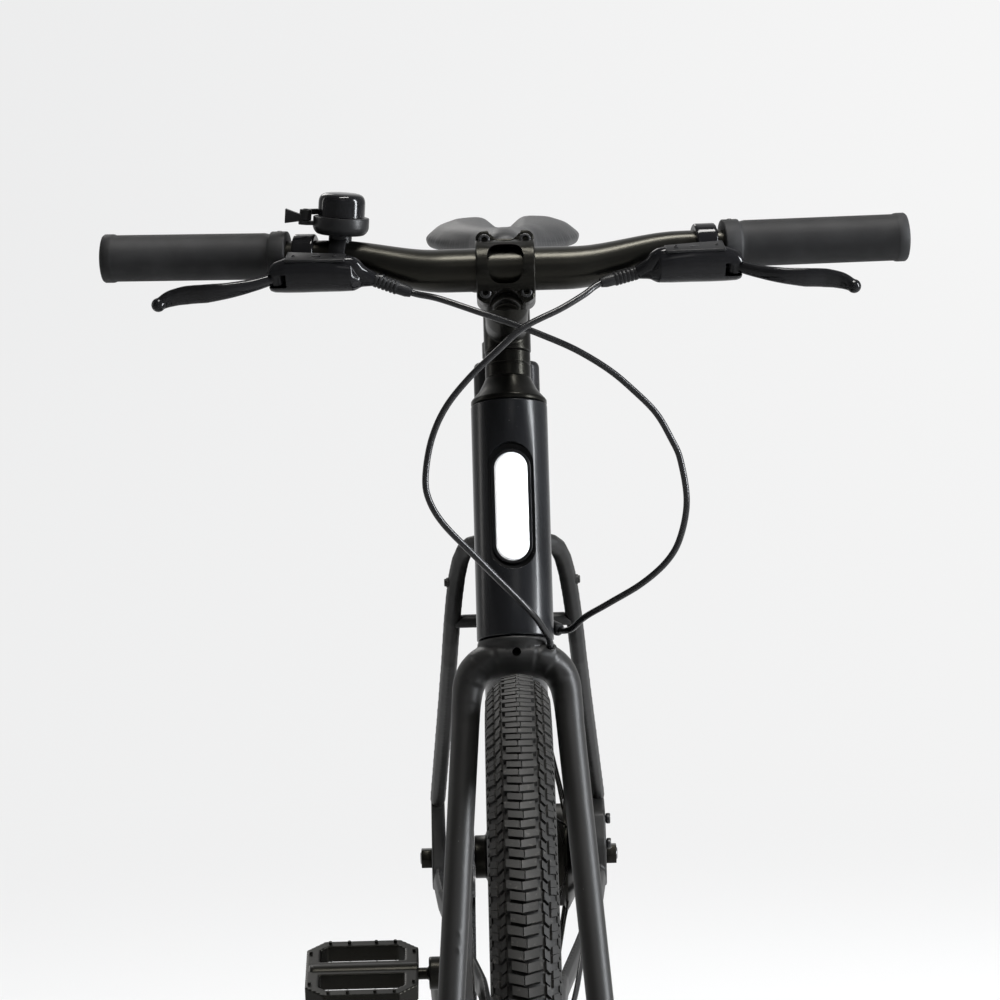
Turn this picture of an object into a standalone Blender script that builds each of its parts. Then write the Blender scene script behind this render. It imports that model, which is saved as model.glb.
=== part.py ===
# Electric bicycle: an upright city bicycle with a belt drive, a motor in the rear hub, and a
# battery standing behind the seat tube. Units are metres. The front wheel points to -Y, +Z is
# up and +X is the rider's left. The origin is on the ground, midway between the axles.

from math import asin, atan2, ceil, cos, pi, radians, sin, sqrt, tan

import bmesh
import bpy
from mathutils import Matrix, Vector

# Clearances
GAP = 0.0003
RUNNING_CLEARANCE = 0.0004

# Wheels and tyres
WHEELBASE = 1.049
BEAD_SEAT_RADIUS = 0.292
TYRE_HEIGHT = 0.0528
TYRE_WIDTH = 0.0475
TYRE_WALL = 0.0040
RIM_WIDTH = 0.028
RIM_WALL = 0.0025
RIM_DEPTH = 0.020
RIM_FLANGE_HEIGHT = 0.005
SPOKE_COUNT = 32
SPOKE_RADIUS = 0.0010
WHEEL_SIDES = 32

# Steering geometry, measured along and across the steering axis
HEAD_ANGLE = radians(70.5)
FORK_OFFSET = 0.0447
CROWN_HEIGHT = 0.382
HEAD_TUBE_LENGTH = 0.178
HEAD_TUBE_RADIUS = 0.0285
STEERER_RADIUS = 0.0143

# Fork
FRONT_HUB_WIDTH = 0.100
FORK_LEG_RADIUS = 0.0104
FORK_TIP_RADIUS = 0.0098
FORK_CROWN_RADIUS = 0.0134
FORK_CROWN_DEPTH = 0.0262
FORK_CROWN_HALF_WIDTH = 0.0385
FORK_TIP_HALF_WIDTH = 0.0618
FORK_CROWN_DROP = 0.0135
FRONT_AXLE_RADIUS = 0.006
CROWN_HOLE_RADIUS = 0.0026

# Headset cover, spacers and stem
HEADSET_COVER_HEIGHT = 0.021
SPACER_RADIUS = 0.0170
SPACER_HEIGHT = 0.0195
STEM_CLAMP_HEIGHT = 0.040
STEM_CLAMP_RADIUS = 0.0176
STEM_REACH = 0.088
STEM_RISE = 0.022
BAR_CLAMP_WALL = 0.0062
BAR_CLAMP_WIDTH = 0.043
FACEPLATE_HEIGHT = 0.055
FACEPLATE_DEPTH = 0.0095
FACEPLATE_BOLT_SPACING = (0.030, 0.040)
FACEPLATE_BOLT_RADIUS = 0.0042
FACEPLATE_WINDOW = (0.0240, 0.0180, 0.0275)

# Handlebar and grips
BAR_HALF_WIDTH = 0.2938
BAR_CENTRE_RADIUS = 0.0159
BAR_END_RADIUS = 0.0111
BAR_RISE = 0.0128
BAR_SWEEP = radians(9.0)
BAR_BEND_START = 0.048
BAR_TAPER_END = 0.128
GRIP_LENGTH = 0.137
GRIP_RADIUS = 0.0172
GRIP_COLLAR_RADIUS = 0.0182
GRIP_COLLAR_LENGTH = 0.012
GRIP_END_WALL = 0.0027

# Brake levers
LEVER_CLAMP_POSITION = 0.1465
LEVER_CLAMP_WIDTH = 0.016
LEVER_CLAMP_WALL = 0.0046
LEVER_TILT = radians(20.0)
LEVER_PIVOT = (0.0165, 0.0300)
LEVER_PIVOT_PIN_RADIUS = 0.0025
LEVER_BOSS_RADIUS = 0.0068
LEVER_BOSS_HEIGHT = 0.0096
LEVER_SLOT_HEIGHT = 0.0106

# Bell
BELL_POSITION = -0.1215
BELL_DOME_RADIUS = 0.0172
BELL_DOME_HEIGHT = 0.0185
BELL_RING_RADIUS = 0.0206
BELL_LEAN = radians(4.5)
BELL_NECK_RADIUS = 0.0085
BELL_BAND_WIDTH = 0.012
BELL_BAND_WALL = 0.0028

# Headlight set in the head tube
LIGHT_HEIGHT = 0.479
LENS_WIDTH = 0.0246
LENS_LENGTH = 0.0816
BEZEL_WALL = 0.0022
POCKET_FLOOR = 0.0205
LENS_STAND = 0.0050

# Frame
BOTTOM_BRACKET_DROP = 0.0698
BOTTOM_BRACKET_RADIUS = 0.0215
BOTTOM_BRACKET_WIDTH = 0.068
BOTTOM_BRACKET_CUP_RADIUS = 0.0225
BOTTOM_BRACKET_CUP_WIDTH = 0.0045
SPINDLE_RADIUS = 0.012
SEAT_TUBE_ANGLE = radians(73.5)
SEAT_TUBE_LENGTH = 0.600
SEAT_TUBE_RADIUS = 0.0175
TOP_TUBE_JOIN_HEAD = 0.530
TOP_TUBE_JOIN_SEAT = 0.545
TOP_TUBE_RADII = (0.0215, 0.0170)
DOWN_TUBE_JOIN_HEAD = 0.4260
DOWN_TUBE_RADII = (0.0245, 0.0215)
REAR_HUB_WIDTH = 0.135
DROPOUT_THICKNESS = 0.0125
REAR_AXLE_RADIUS = 0.006
REAR_AXLE_LENGTH = 0.183
AXLE_NUT_HEIGHT = 0.0102
AXLE_NUT_FLATS = 0.017
SEAT_STAY_RADIUS = 0.0081
SEAT_STAY_TIP_RADIUS = 0.0074
STAY_BRIDGE_RADIUS = 0.0060
STAY_BRIDGE_PLACE = (-0.2490, 0.2612)
CHAIN_STAY_HALF_WIDTH = 0.0052
CHAIN_STAY_HALF_HEIGHT = 0.0140

# Belt drive
BELT_PITCH = 0.011
BELT_TEETH = 122
BELT_WIDTH = 0.011
BELT_LINE = -0.047
RING_TEETH = 60
SPROCKET_TEETH = 22
BELT_BACK = 0.0013
BELT_LAND = 0.0008
BELT_TOOTH_DEPTH = 0.0034
BELT_TOOTH_ROOT = 0.0058
BELT_TOOTH_TIP = 0.0036
TOOTH_CLEARANCE = 0.0003

# Cranks and pedals
CRANK_LENGTH = 0.170
CRANK_ANGLE = radians(34.0)
CRANK_FACE = 0.0552
CRANK_FLARE = 0.0090
CRANK_BOSS_RADIUS = 0.0190
CRANK_TIP_RADIUS = 0.0135
PEDAL_LENGTH = 0.096
PEDAL_THICKNESS = 0.014
PEDAL_SPINDLE_RADIUS = 0.0050
PEDAL_BARREL_RADIUS = 0.0092
PEDAL_TILT = radians(14.0)

# Hubs, motor and discs
HUB_RADIUS = 0.0135
HUB_FLANGE_RADIUS = 0.0225
FRONT_DISC_PLANE = 0.0395
REAR_DISC_PLANE = 0.0550
DISC_THICKNESS = 0.0018
FRONT_DISC_RADIUS = 0.080
REAR_DISC_RADIUS = 0.070
DISC_TRACK = 0.0135
MOTOR_RADIUS = 0.0475
MOTOR_FLANGE_RADIUS = 0.0515
MOTOR_SPAN = (-0.0200, 0.0505)
MOTOR_NECK_RADIUS = 0.0200
MOTOR_NECK_END = -0.0408

# Seat post and saddle
SEATPOST_RADIUS = 0.0151
SEATPOST_INSERTION = 0.160
SEATPOST_EXPOSED = 0.036
SEAT_CLAMP_HEIGHT = 0.014
SEAT_CLAMP_RADIUS = 0.0205
RAIL_RADIUS = 0.0035
RAIL_SPACING = 0.044

# Battery
BATTERY_WIDTH = 0.057
BATTERY_DEPTH = 0.052
BATTERY_FACE = 0.0215
BATTERY_SPAN = (0.330, 0.589)

# Hoses
HOSE_RADIUS = 0.0024

# Headlight pocket
POCKET_WIDTH = 0.034
POCKET_LENGTH = 0.096
BEZEL_DEPTH = 0.0038

# Fork shoulders, as width and height of the centre line, with the half height and depth there
FORK_STRAIGHT_TOP = 0.345
FORK_SHOULDER = (
    ((0.0372, 0.338), 0.0110, 0.0122),
    ((0.0345, 0.352), 0.0121, 0.0150),
    ((0.0285, 0.3615), 0.0128, 0.0195),
    ((0.0180, 0.3672), 0.0132, 0.0240),
)

# Front caliper, measured in the steering frame
FRONT_CALIPER_ANGLE = radians(28.0)
FRONT_CALIPER_X = 0.0580
FRONT_CALIPER_BOLTS = (0.048, 0.082)
FRONT_CALIPER_FOOT = -0.0215
FRONT_FLANGES = (0.0260, 0.0335)
DISC_BORE = 0.0178

# Lever body as (along the bar, forward, square, half depth, half height), from the hose end
LEVER_BODY = (
    (-0.0620, 0.0220, -0.0100, 0.0042, 0.0042),
    (-0.0450, 0.0250, -0.0080, 0.0056, 0.0056),
    (-0.0395, 0.0265, -0.0040, 0.0095, 0.0120),
    (-0.0150, 0.0270, -0.0020, 0.0112, 0.0140),
    (0.0090, 0.0290, -0.0020, 0.0102, 0.0135),
    (0.0215, 0.0300, -0.0035, 0.0098, 0.0110),
)
LEVER_LEVEL = -0.0030

# Lever blade as (along the bar, forward, square, half height, half thickness), from the pivot
LEVER_BLADE = (
    (0.0165, 0.0300, 0.0, 0.0044, 0.0046),
    (0.0330, 0.0440, 0.0, 0.0050, 0.0042),
    (0.0480, 0.0525, -0.0006, 0.0060, 0.0037),
    (0.0640, 0.0555, -0.0024, 0.0072, 0.0034),
    (0.0800, 0.0550, -0.0044, 0.0074, 0.0033),
    (0.0920, 0.0570, -0.0068, 0.0064, 0.0035),
    (0.0995, 0.0612, -0.0096, 0.0046, 0.0038),
)
LEVER_TIP_RADIUS = 0.0052

# Bell
BELL_CUP_HEIGHT = 0.0152
BELL_RING_HEIGHT = 0.0285
BELL_PIVOT = 0.0262

# Seat stays, from the seat tube down to the dropout, measured from the rear axle
SEAT_STAY_ROUTE = (
    (0.0100, -0.3120, 0.3392),
    (0.0270, -0.3075, 0.3382),
    (0.0400, -0.2930, 0.3302),
    (0.0475, -0.2730, 0.3052),
    (0.0530, -0.2480, 0.2632),
    (0.0570, -0.2090, 0.2202),
    (0.0615, -0.1560, 0.1752),
    (0.0675, -0.0840, 0.1172),
    (0.0737, -0.0105, 0.0565),
)
SEAT_STAY_END = SEAT_STAY_ROUTE[-1][1:]
SEAT_STAY_APPROACH = SEAT_STAY_ROUTE[-2][1:]
CHAIN_STAY_END = (-0.0560, -0.0060)
DROPOUT_EYE_RADIUS = 0.0170

# Chain stays, measured from the bottom bracket. They cross between the belt's two runs.
CHAIN_STAY_ROUTE = (
    (0.0305, 0.0100, 0.0060),
    (0.0310, 0.0300, 0.0085),
    (0.0330, 0.0860, 0.0170),
    (0.0350, 0.1110, 0.0210),
    (0.0400, 0.1370, 0.0260),
    (0.0500, 0.1860, 0.0350),
    (0.0610, 0.2500, 0.0450),
    (0.0705, 0.3160, 0.0550),
    (0.0737, 0.3600, 0.0600),
    (0.0738, 0.3900, 0.0640),
)

# Rear caliper, measured from the rear axle
REAR_CALIPER_ANGLE = radians(60.0)
REAR_CALIPER_BOLTS = ((-0.0512, 0.0434), (-0.0632, 0.0226))

# Belt drive and axle spacing
RING_ARMS = 5
SPROCKET_BOSS_END = 0.0600
MOTOR_BOSS_END = 0.0580

# Pedals
PEDAL_SPAN = (0.0850, 0.1760)

# Saddle sections as (Y from the rails' centre, half width, top, floor)
SADDLE_CHANNEL = 0.0045
SADDLE_SECTIONS = (
    (-0.1470, 0.0060, 0.0460, 0.0380),
    (-0.1430, 0.0130, 0.0520, 0.0330),
    (-0.1300, 0.0175, 0.0552, 0.0285),
    (-0.1000, 0.0190, 0.0548, 0.0265),
    (-0.0650, 0.0215, 0.0530, 0.0245),
    (-0.0300, 0.0300, 0.0512, 0.0235),
    (0.0050, 0.0445, 0.0500, 0.0230),
    (0.0400, 0.0595, 0.0502, 0.0220),
    (0.0700, 0.0680, 0.0505, 0.0215),
    (0.0950, 0.0690, 0.0495, 0.0215),
    (0.1120, 0.0635, 0.0460, 0.0240),
    (0.1210, 0.0480, 0.0405, 0.0290),
)

# Battery details, along and behind the seat tube
CRADLE_FOOT_HEIGHT = 0.0135
BATTERY_LOCK_PLACE = (0.0300, 0.3195)
BATTERY_LIGHT_HEIGHT = 0.5450

# Hose ports, each as the sleeve's tip and the direction into it
PORT_RADIUS = 0.0052
PORT_DEPTH = 0.0090
HOSE_SPACING = 0.0143
HEAD_HOSE_PORT = (Vector((0.0335, -0.3320, 0.6935)), Vector((-0.66, 0.72, 0.20)).normalized())
STAY_HOSE_PORT = (Vector((0.0285, 0.0720, 0.3030)), Vector((-0.62, -0.74, 0.26)).normalized())
CROWN_HOSE_PORT = (Vector((0.0254, -0.0172, 0.3739)), Vector((0.05, 0.80, -0.60)).normalized())
REAR_CALIPER_PORT = (Vector((0.0585, -0.0905, 0.0320)), Vector((0.0, 0.98, 0.20)).normalized())

# Hose routes. The front one turns with the bar and is measured in the steering frame.
FRONT_HOSE_ROUTE = (
    (0.0690, -0.1030, 0.6265),
    (0.0570, -0.1080, 0.6170),
    (0.0390, -0.1140, 0.6050),
    (0.0120, -0.1180, 0.5910),
    (-0.0080, -0.1170, 0.5740),
    (-0.0280, -0.1140, 0.5560),
    (-0.0460, -0.1100, 0.5350),
    (-0.0570, -0.1060, 0.5120),
    (-0.0620, -0.1010, 0.4860),
    (-0.0600, -0.0970, 0.4700),
    (-0.0500, -0.0910, 0.4530),
    (-0.0290, -0.0800, 0.4320),
    (-0.0130, -0.0690, 0.4170),
    (-0.0010, -0.0600, 0.4060),
    (0.0080, -0.0530, 0.3975),
    (0.0160, -0.0430, 0.3900),
    (0.0220, -0.0310, 0.3825),
)
REAR_HOSE_ROUTE = (
    (-0.0690, -0.3660, 0.9510),
    (-0.0500, -0.3730, 0.9470),
    (-0.0210, -0.3790, 0.9370),
    (0.0030, -0.3790, 0.9280),
    (0.0270, -0.3790, 0.9180),
    (0.0500, -0.3780, 0.9070),
    (0.0730, -0.3760, 0.8920),
    (0.0900, -0.3750, 0.8770),
    (0.1070, -0.3750, 0.8590),
    (0.1180, -0.3750, 0.8390),
    (0.1240, -0.3750, 0.8240),
    (0.1280, -0.3750, 0.7940),
    (0.1230, -0.3720, 0.7670),
    (0.1130, -0.3700, 0.7490),
    (0.0940, -0.3660, 0.7320),
    (0.0690, -0.3580, 0.7165),
    (0.0500, -0.3470, 0.7040),
)
STAY_HOSE_ROUTE = (
    (0.0400, -0.0020, 0.0300),
    (0.0450, 0.0300, 0.0380),
    (0.0490, 0.0650, 0.0480),
    (0.0530, 0.1080, 0.0570),
    (0.0570, 0.1660, 0.0610),
    (0.0605, 0.2160, 0.0660),
    (0.0640, 0.2760, 0.0760),
    (0.0630, 0.3150, 0.0870),
)

FRONT_AXLE_Y = -WHEELBASE / 2
REAR_AXLE_Y = WHEELBASE / 2
WHEEL_RADIUS = BEAD_SEAT_RADIUS + TYRE_HEIGHT


# Driving geometry worked out from the sizes above
def belt_centre_distance():
    """Distance between the bottom bracket and the rear axle that the belt's length gives."""
    large = RING_TEETH * BELT_PITCH / (2 * pi)
    small = SPROCKET_TEETH * BELT_PITCH / (2 * pi)
    low = large + small
    high = BELT_TEETH * BELT_PITCH / 2
    for _ in range(60):
        middle = (low + high) / 2
        lead = asin((large - small) / middle)
        length = 2 * middle * cos(lead) + large * (pi + 2 * lead) + small * (pi - 2 * lead)
        if length > BELT_TEETH * BELT_PITCH:
            high = middle
        else:
            low = middle
    return middle


def inclined_frame(origin, angle):
    """A frame whose Z leans back by the tube's angle, with X to the left and Y to the rear."""
    across = Vector((1, 0, 0))
    back = Vector((0, sin(angle), -cos(angle)))
    up = Vector((0, cos(angle), sin(angle)))
    turn = Matrix((across, back, up)).transposed().to_4x4()
    return Matrix.Translation(origin) @ turn


CHAIN_STAY_LENGTH = belt_centre_distance()
FRONT_AXLE = Vector((0, FRONT_AXLE_Y, WHEEL_RADIUS))
REAR_AXLE = Vector((0, REAR_AXLE_Y, WHEEL_RADIUS))
BOTTOM_BRACKET = Vector((
    0,
    REAR_AXLE_Y - sqrt(CHAIN_STAY_LENGTH ** 2 - BOTTOM_BRACKET_DROP ** 2),
    WHEEL_RADIUS - BOTTOM_BRACKET_DROP,
))
STEERING_FOOT = FRONT_AXLE + FORK_OFFSET * Vector((0, sin(HEAD_ANGLE), -cos(HEAD_ANGLE)))
STEERING = inclined_frame(STEERING_FOOT, HEAD_ANGLE)
SEAT = inclined_frame(BOTTOM_BRACKET, SEAT_TUBE_ANGLE)
HEAD_TOP = CROWN_HEIGHT + HEAD_TUBE_LENGTH
SPACER_BASE = HEAD_TOP + HEADSET_COVER_HEIGHT
STEM_BASE = SPACER_BASE + SPACER_HEIGHT
STEM_TOP = STEM_BASE + STEM_CLAMP_HEIGHT
BAR_HEIGHT = STEM_BASE + STEM_CLAMP_HEIGHT / 2 + STEM_RISE
BAR_CENTRE = STEERING @ Vector((0, -STEM_REACH, BAR_HEIGHT))
RING_RADIUS = RING_TEETH * BELT_PITCH / (2 * pi)
SPROCKET_RADIUS = SPROCKET_TEETH * BELT_PITCH / (2 * pi)


# Mesh tools
def turned(profile, sides, ring=False):
    """Spin a profile of (radius, height) points about Z. A ring profile closes on itself."""
    mesh = bmesh.new()
    points = [mesh.verts.new((radius, 0, height)) for radius, height in profile]
    edges = [mesh.edges.new(pair) for pair in zip(points, points[1:])]
    if ring:
        edges.append(mesh.edges.new((points[-1], points[0])))
    bmesh.ops.spin(
        mesh, geom=points + edges, cent=(0, 0, 0), axis=(0, 0, 1), angle=2 * pi, steps=sides,
        use_merge=True,
    )
    bmesh.ops.remove_doubles(mesh, verts=mesh.verts, dist=1e-6)
    return mesh


def loft(sections):
    """Skin sections that have the same number of points, and cap both ends."""
    mesh = bmesh.new()
    rows = [[mesh.verts.new(point) for point in section] for section in sections]
    count = len(rows[0])
    for low, high in zip(rows, rows[1:]):
        for here in range(count):
            after = (here + 1) % count
            mesh.faces.new((low[here], low[after], high[after], high[here]))
    mesh.faces.new(rows[0])
    mesh.faces.new(rows[-1])
    return mesh


def oval(centre, first, second, size_a, size_b, sides, phase=0.0):
    """Points round an ellipse that lies in the plane of two directions."""
    points = []
    for step in range(sides):
        angle = 2 * pi * step / sides + phase
        points.append(centre + first * (size_a * cos(angle)) + second * (size_b * sin(angle)))
    return points


def smooth_path(points, per_span):
    """A smooth curve through chosen points, read at even steps in each span."""
    points = [Vector(point) for point in points]
    padded = [2 * points[0] - points[1]] + points + [2 * points[-1] - points[-2]]
    result = []
    for before, start, end, after in zip(padded, padded[1:], padded[2:], padded[3:]):
        for step in range(per_span):
            t = step / per_span
            result.append(0.5 * (
                2 * start
                + (end - before) * t
                + (2 * before - 5 * start + 4 * end - after) * t ** 2
                + (3 * start - before - 3 * end + after) * t ** 3
            ))
    result.append(points[-1])
    return result


def even_path(points, spacing):
    """A smooth curve through chosen points, read again at an even spacing."""
    fine = smooth_path(points, 24)
    lengths = [0.0]
    for start, end in zip(fine, fine[1:]):
        lengths.append(lengths[-1] + (end - start).length)
    count = max(2, ceil(lengths[-1] / spacing))
    result = []
    place = 0
    for step in range(count + 1):
        target = lengths[-1] * step / count
        while place < len(fine) - 2 and lengths[place + 1] < target:
            place += 1
        share = (target - lengths[place]) / (lengths[place + 1] - lengths[place])
        result.append(fine[place].lerp(fine[place + 1], min(1.0, share)))
    return result


def sweep(path, sizes, sides, across=Vector((1, 0, 0))):
    """Sweep ovals along a path. Each size is a radius, or a pair across and along the fall."""
    sections = []
    last = len(path) - 1
    for index, point in enumerate(path):
        ahead = path[min(index + 1, last)] - path[max(index - 1, 0)]
        ahead.normalize()
        first = across - ahead * across.dot(ahead)
        first.normalize()
        second = ahead.cross(first)
        size = sizes[index]
        pair = size if isinstance(size, tuple) else (size, size)
        sections.append(oval(point, first, second, pair[0], pair[1], sides))
    return loft(sections)


def plate(loops, thickness):
    """Fill flat loops of (x, y) points, the first the outline and the rest holes, and extrude."""
    mesh = bmesh.new()
    edges = []
    for loop in loops:
        points = [mesh.verts.new((x, y, 0)) for x, y in loop]
        edges += [mesh.edges.new(pair) for pair in zip(points, points[1:] + points[:1])]
    filled = bmesh.ops.triangle_fill(mesh, use_beauty=True, edges=edges)
    faces = [item for item in filled["geom"] if isinstance(item, bmesh.types.BMFace)]
    grown = bmesh.ops.extrude_face_region(mesh, geom=faces)
    moved = [item for item in grown["geom"] if isinstance(item, bmesh.types.BMVert)]
    bmesh.ops.translate(mesh, verts=moved, vec=(0, 0, thickness))
    return mesh


def around(radius, sides):
    """The corner radius of a polygon whose flats lie at a radius, for a hole round a bar."""
    return radius / cos(pi / sides)


def circle(radius, sides, centre=(0.0, 0.0), phase=0.0):
    """Flat points round a circle."""
    points = []
    for step in range(sides):
        angle = 2 * pi * step / sides + phase
        points.append((centre[0] + radius * cos(angle), centre[1] + radius * sin(angle)))
    return points


def pill(width, length, steps):
    """Flat points round a slot shape that is longer along Y, with round ends."""
    radius = width / 2
    straight = length / 2 - radius
    points = []
    for sign, start in ((1, 0.0), (-1, pi)):
        for step in range(steps + 1):
            angle = start + pi * step / steps
            points.append((radius * cos(angle), sign * straight + radius * sin(angle)))
    return points


def rounded_box(size, centre, bevel, segments=1):
    """A box with every edge bevelled."""
    mesh = bmesh.new()
    bmesh.ops.create_cube(mesh, size=1.0)
    bmesh.ops.scale(mesh, verts=mesh.verts, vec=size)
    bmesh.ops.translate(mesh, verts=mesh.verts, vec=centre)
    if bevel > 0:
        bmesh.ops.bevel(
            mesh, geom=list(mesh.edges), offset=bevel, segments=segments, profile=0.5,
            affect="EDGES",
        )
    return mesh


def cylinder(radius, start, end, sides):
    """A cylinder between two points."""
    start = Vector(start)
    end = Vector(end)
    mesh = turned([(0, 0), (radius, 0), (radius, (end - start).length), (0, (end - start).length)], sides)
    turn = (end - start).to_track_quat("Z", "Y").to_matrix().to_4x4()
    mesh.transform(Matrix.Translation(start) @ turn)
    return mesh


def ring_tube(inner, outer, length, sides):
    """A straight tube along Z from zero to its length."""
    profile = [(inner, 0), (outer, 0), (outer, length), (inner, length)]
    return turned(profile, sides, ring=True)


def moved(mesh, matrix):
    """The same mesh, carried by a matrix."""
    mesh.transform(matrix)
    return mesh


def face_outwards(mesh):
    """Make the faces agree, and turn them out where the mesh encloses a negative volume."""
    bmesh.ops.recalc_face_normals(mesh, faces=mesh.faces)
    if mesh.calc_volume(signed=True) < 0:
        bmesh.ops.reverse_faces(mesh, faces=mesh.faces)


def as_object(mesh):
    """Put a mesh in the file as a plain object, with its faces turned out."""
    face_outwards(mesh)
    data = bpy.data.meshes.new("shape")
    mesh.to_mesh(data)
    mesh.free()
    item = bpy.data.objects.new("shape", data)
    bpy.context.collection.objects.link(item)
    return item


def combine(base, tool, operation):
    """Join, cut or intersect two meshes, and give the result as a new mesh."""
    base_item = as_object(base)
    tool_item = as_object(tool)
    modifier = base_item.modifiers.new("combine", "BOOLEAN")
    modifier.operation = operation
    modifier.object = tool_item
    graph = bpy.context.evaluated_depsgraph_get()
    data = bpy.data.meshes.new_from_object(base_item.evaluated_get(graph))
    result = bmesh.new()
    result.from_mesh(data)
    bmesh.ops.remove_doubles(result, verts=result.verts, dist=1e-6)
    bmesh.ops.dissolve_limit(
        result, angle_limit=radians(0.2), verts=result.verts, edges=result.edges,
    )
    for item in (base_item, tool_item):
        bpy.data.objects.remove(item)
    bpy.data.meshes.remove(data)
    return result


def joined(base, *tools):
    """Fuse meshes into one body."""
    for tool in tools:
        base = combine(base, tool, "UNION")
    return base


def cut(base, *tools):
    """Cut shapes out of a body."""
    for tool in tools:
        base = combine(base, tool, "DIFFERENCE")
    return base


def together(meshes):
    """Several separate meshes as one, to be used as a single tool."""
    result = bmesh.new()
    for mesh in meshes:
        data = bpy.data.meshes.new("part")
        face_outwards(mesh)
        mesh.to_mesh(data)
        mesh.free()
        result.from_mesh(data)
        bpy.data.meshes.remove(data)
    return result


MATERIALS = {
    "frame_paint": ((0.020, 0.021, 0.023), 0.42, 0.35),
    "black_anodised": ((0.030, 0.030, 0.031), 0.35, 0.60),
    "gloss_black": ((0.012, 0.012, 0.013), 0.12, 0.20),
    "black_plastic": ((0.035, 0.035, 0.036), 0.55, 0.00),
    "grip_rubber": ((0.032, 0.032, 0.033), 0.80, 0.00),
    "tyre_rubber": ((0.045, 0.044, 0.043), 0.85, 0.00),
    "belt_rubber": ((0.025, 0.025, 0.026), 0.70, 0.00),
    "steel": ((0.32, 0.32, 0.33), 0.30, 1.00),
    "disc_steel": ((0.50, 0.50, 0.51), 0.25, 1.00),
    "saddle_cover": ((0.070, 0.070, 0.072), 0.60, 0.00),
    "light_lens": ((0.95, 0.95, 0.95), 0.10, 0.00),
    "red_lens": ((0.45, 0.02, 0.02), 0.15, 0.00),
    "hose_cover": ((0.025, 0.025, 0.026), 0.45, 0.00),
}


def material(name):
    """The Principled material of that name, made the first time it is asked for."""
    if name in bpy.data.materials:
        return bpy.data.materials[name]
    colour, roughness, metallic = MATERIALS[name]
    result = bpy.data.materials.new(name)
    result.use_nodes = True
    shader = result.node_tree.nodes["Principled BSDF"]
    shader.inputs["Base Color"].default_value = (*colour, 1.0)
    shader.inputs["Roughness"].default_value = roughness
    shader.inputs["Metallic"].default_value = metallic
    return result


PLACES = {}


def mount(name, place, parent=None):
    """An empty that carries pieces, put at a joint's axis or at a tube's foot."""
    item = bpy.data.objects.new(name, None)
    item.empty_display_size = 0.03
    bpy.context.collection.objects.link(item)
    item.parent = parent
    item.matrix_basis = PLACES[parent.name].inverted() @ place if parent else place
    PLACES[name] = place
    return item


def piece(name, mesh, finish, parent):
    """A finished sub-part as an object, modelled in the frame of the mount that carries it."""
    item = as_object(mesh)
    item.name = name
    item.data.name = name
    item.data.materials.append(material(finish))
    item.data.shade_smooth()
    item.data.set_sharp_from_angle(angle=radians(38))
    item.parent = parent
    return item


def hose(name, route, radius, spacing, parent):
    """A hose as a bevelled curve along a smooth route."""
    data = bpy.data.curves.new(name, "CURVE")
    data.dimensions = "3D"
    data.bevel_depth = radius
    data.bevel_resolution = 2
    data.use_fill_caps = True
    spline = data.splines.new("POLY")
    points = even_path(route, spacing)
    spline.points.add(len(points) - 1)
    for target, point in zip(spline.points, points):
        target.co = (*point, 1.0)
    item = bpy.data.objects.new(name, data)
    bpy.context.collection.objects.link(item)
    data.materials.append(material("hose_cover"))
    item.parent = parent
    return item


def side_plate(loops, low, high):
    """A flat plate drawn in Y and Z, from one place on X to another."""
    turn = Matrix(((0, 0, 1), (1, 0, 0), (0, 1, 0))).to_4x4()
    return moved(plate(loops, high - low), Matrix.Translation((low, 0, 0)) @ turn)


def side_disc(radius, low, high, sides, centre=(0.0, 0.0)):
    """A cylinder lying along X."""
    return side_plate([circle(radius, sides, centre)], low, high)


def wheel_ring(profile, sides, ring=False):
    """Spin a profile of (radius, X) points about the X axis."""
    return moved(turned(profile, sides, ring), Matrix.Rotation(pi / 2, 4, "Y"))


def facing(mesh, forward, height):
    """Stand a flat plate up so that it faces the front of the steering axis."""
    place = Matrix.Translation((0, -forward, height)) @ Matrix.Rotation(pi / 2, 4, "X")
    return moved(mesh, place)


def hull(points):
    """The outline round a set of flat points, in order."""
    points = sorted(set(points))
    outline = []
    for run in (points, list(reversed(points))):
        start = len(outline)
        for point in run:
            while len(outline) >= start + 2:
                (ax, ay), (bx, by) = outline[-2], outline[-1]
                if (bx - ax) * (point[1] - ay) - (by - ay) * (point[0] - ax) > 1e-12:
                    break
                outline.pop()
            outline.append(point)
        outline.pop()
    return outline


def smooth_step(low, high, value):
    """Zero below a range, one above it, and an even blend between."""
    share = min(1.0, max(0.0, (value - low) / (high - low)))
    return share * share * (3 - 2 * share)


def mixed(low, high, share):
    """A value part of the way from one to another."""
    return low + (high - low) * share


# Start from an empty file
for leftover in list(bpy.data.objects):
    bpy.data.objects.remove(leftover)

steering_axis = mount("steering_axis", STEERING)
bar_centre = mount("bar_centre", Matrix.Translation(BAR_CENTRE), steering_axis)
front_wheel_axis = mount("front_wheel_axis", Matrix.Translation(FRONT_AXLE), steering_axis)
rear_wheel_axis = mount("rear_wheel_axis", Matrix.Translation(REAR_AXLE))
crank_axis = mount("crank_axis", Matrix.Translation(BOTTOM_BRACKET))
seat_tube_foot = mount("seat_tube_foot", SEAT)


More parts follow.
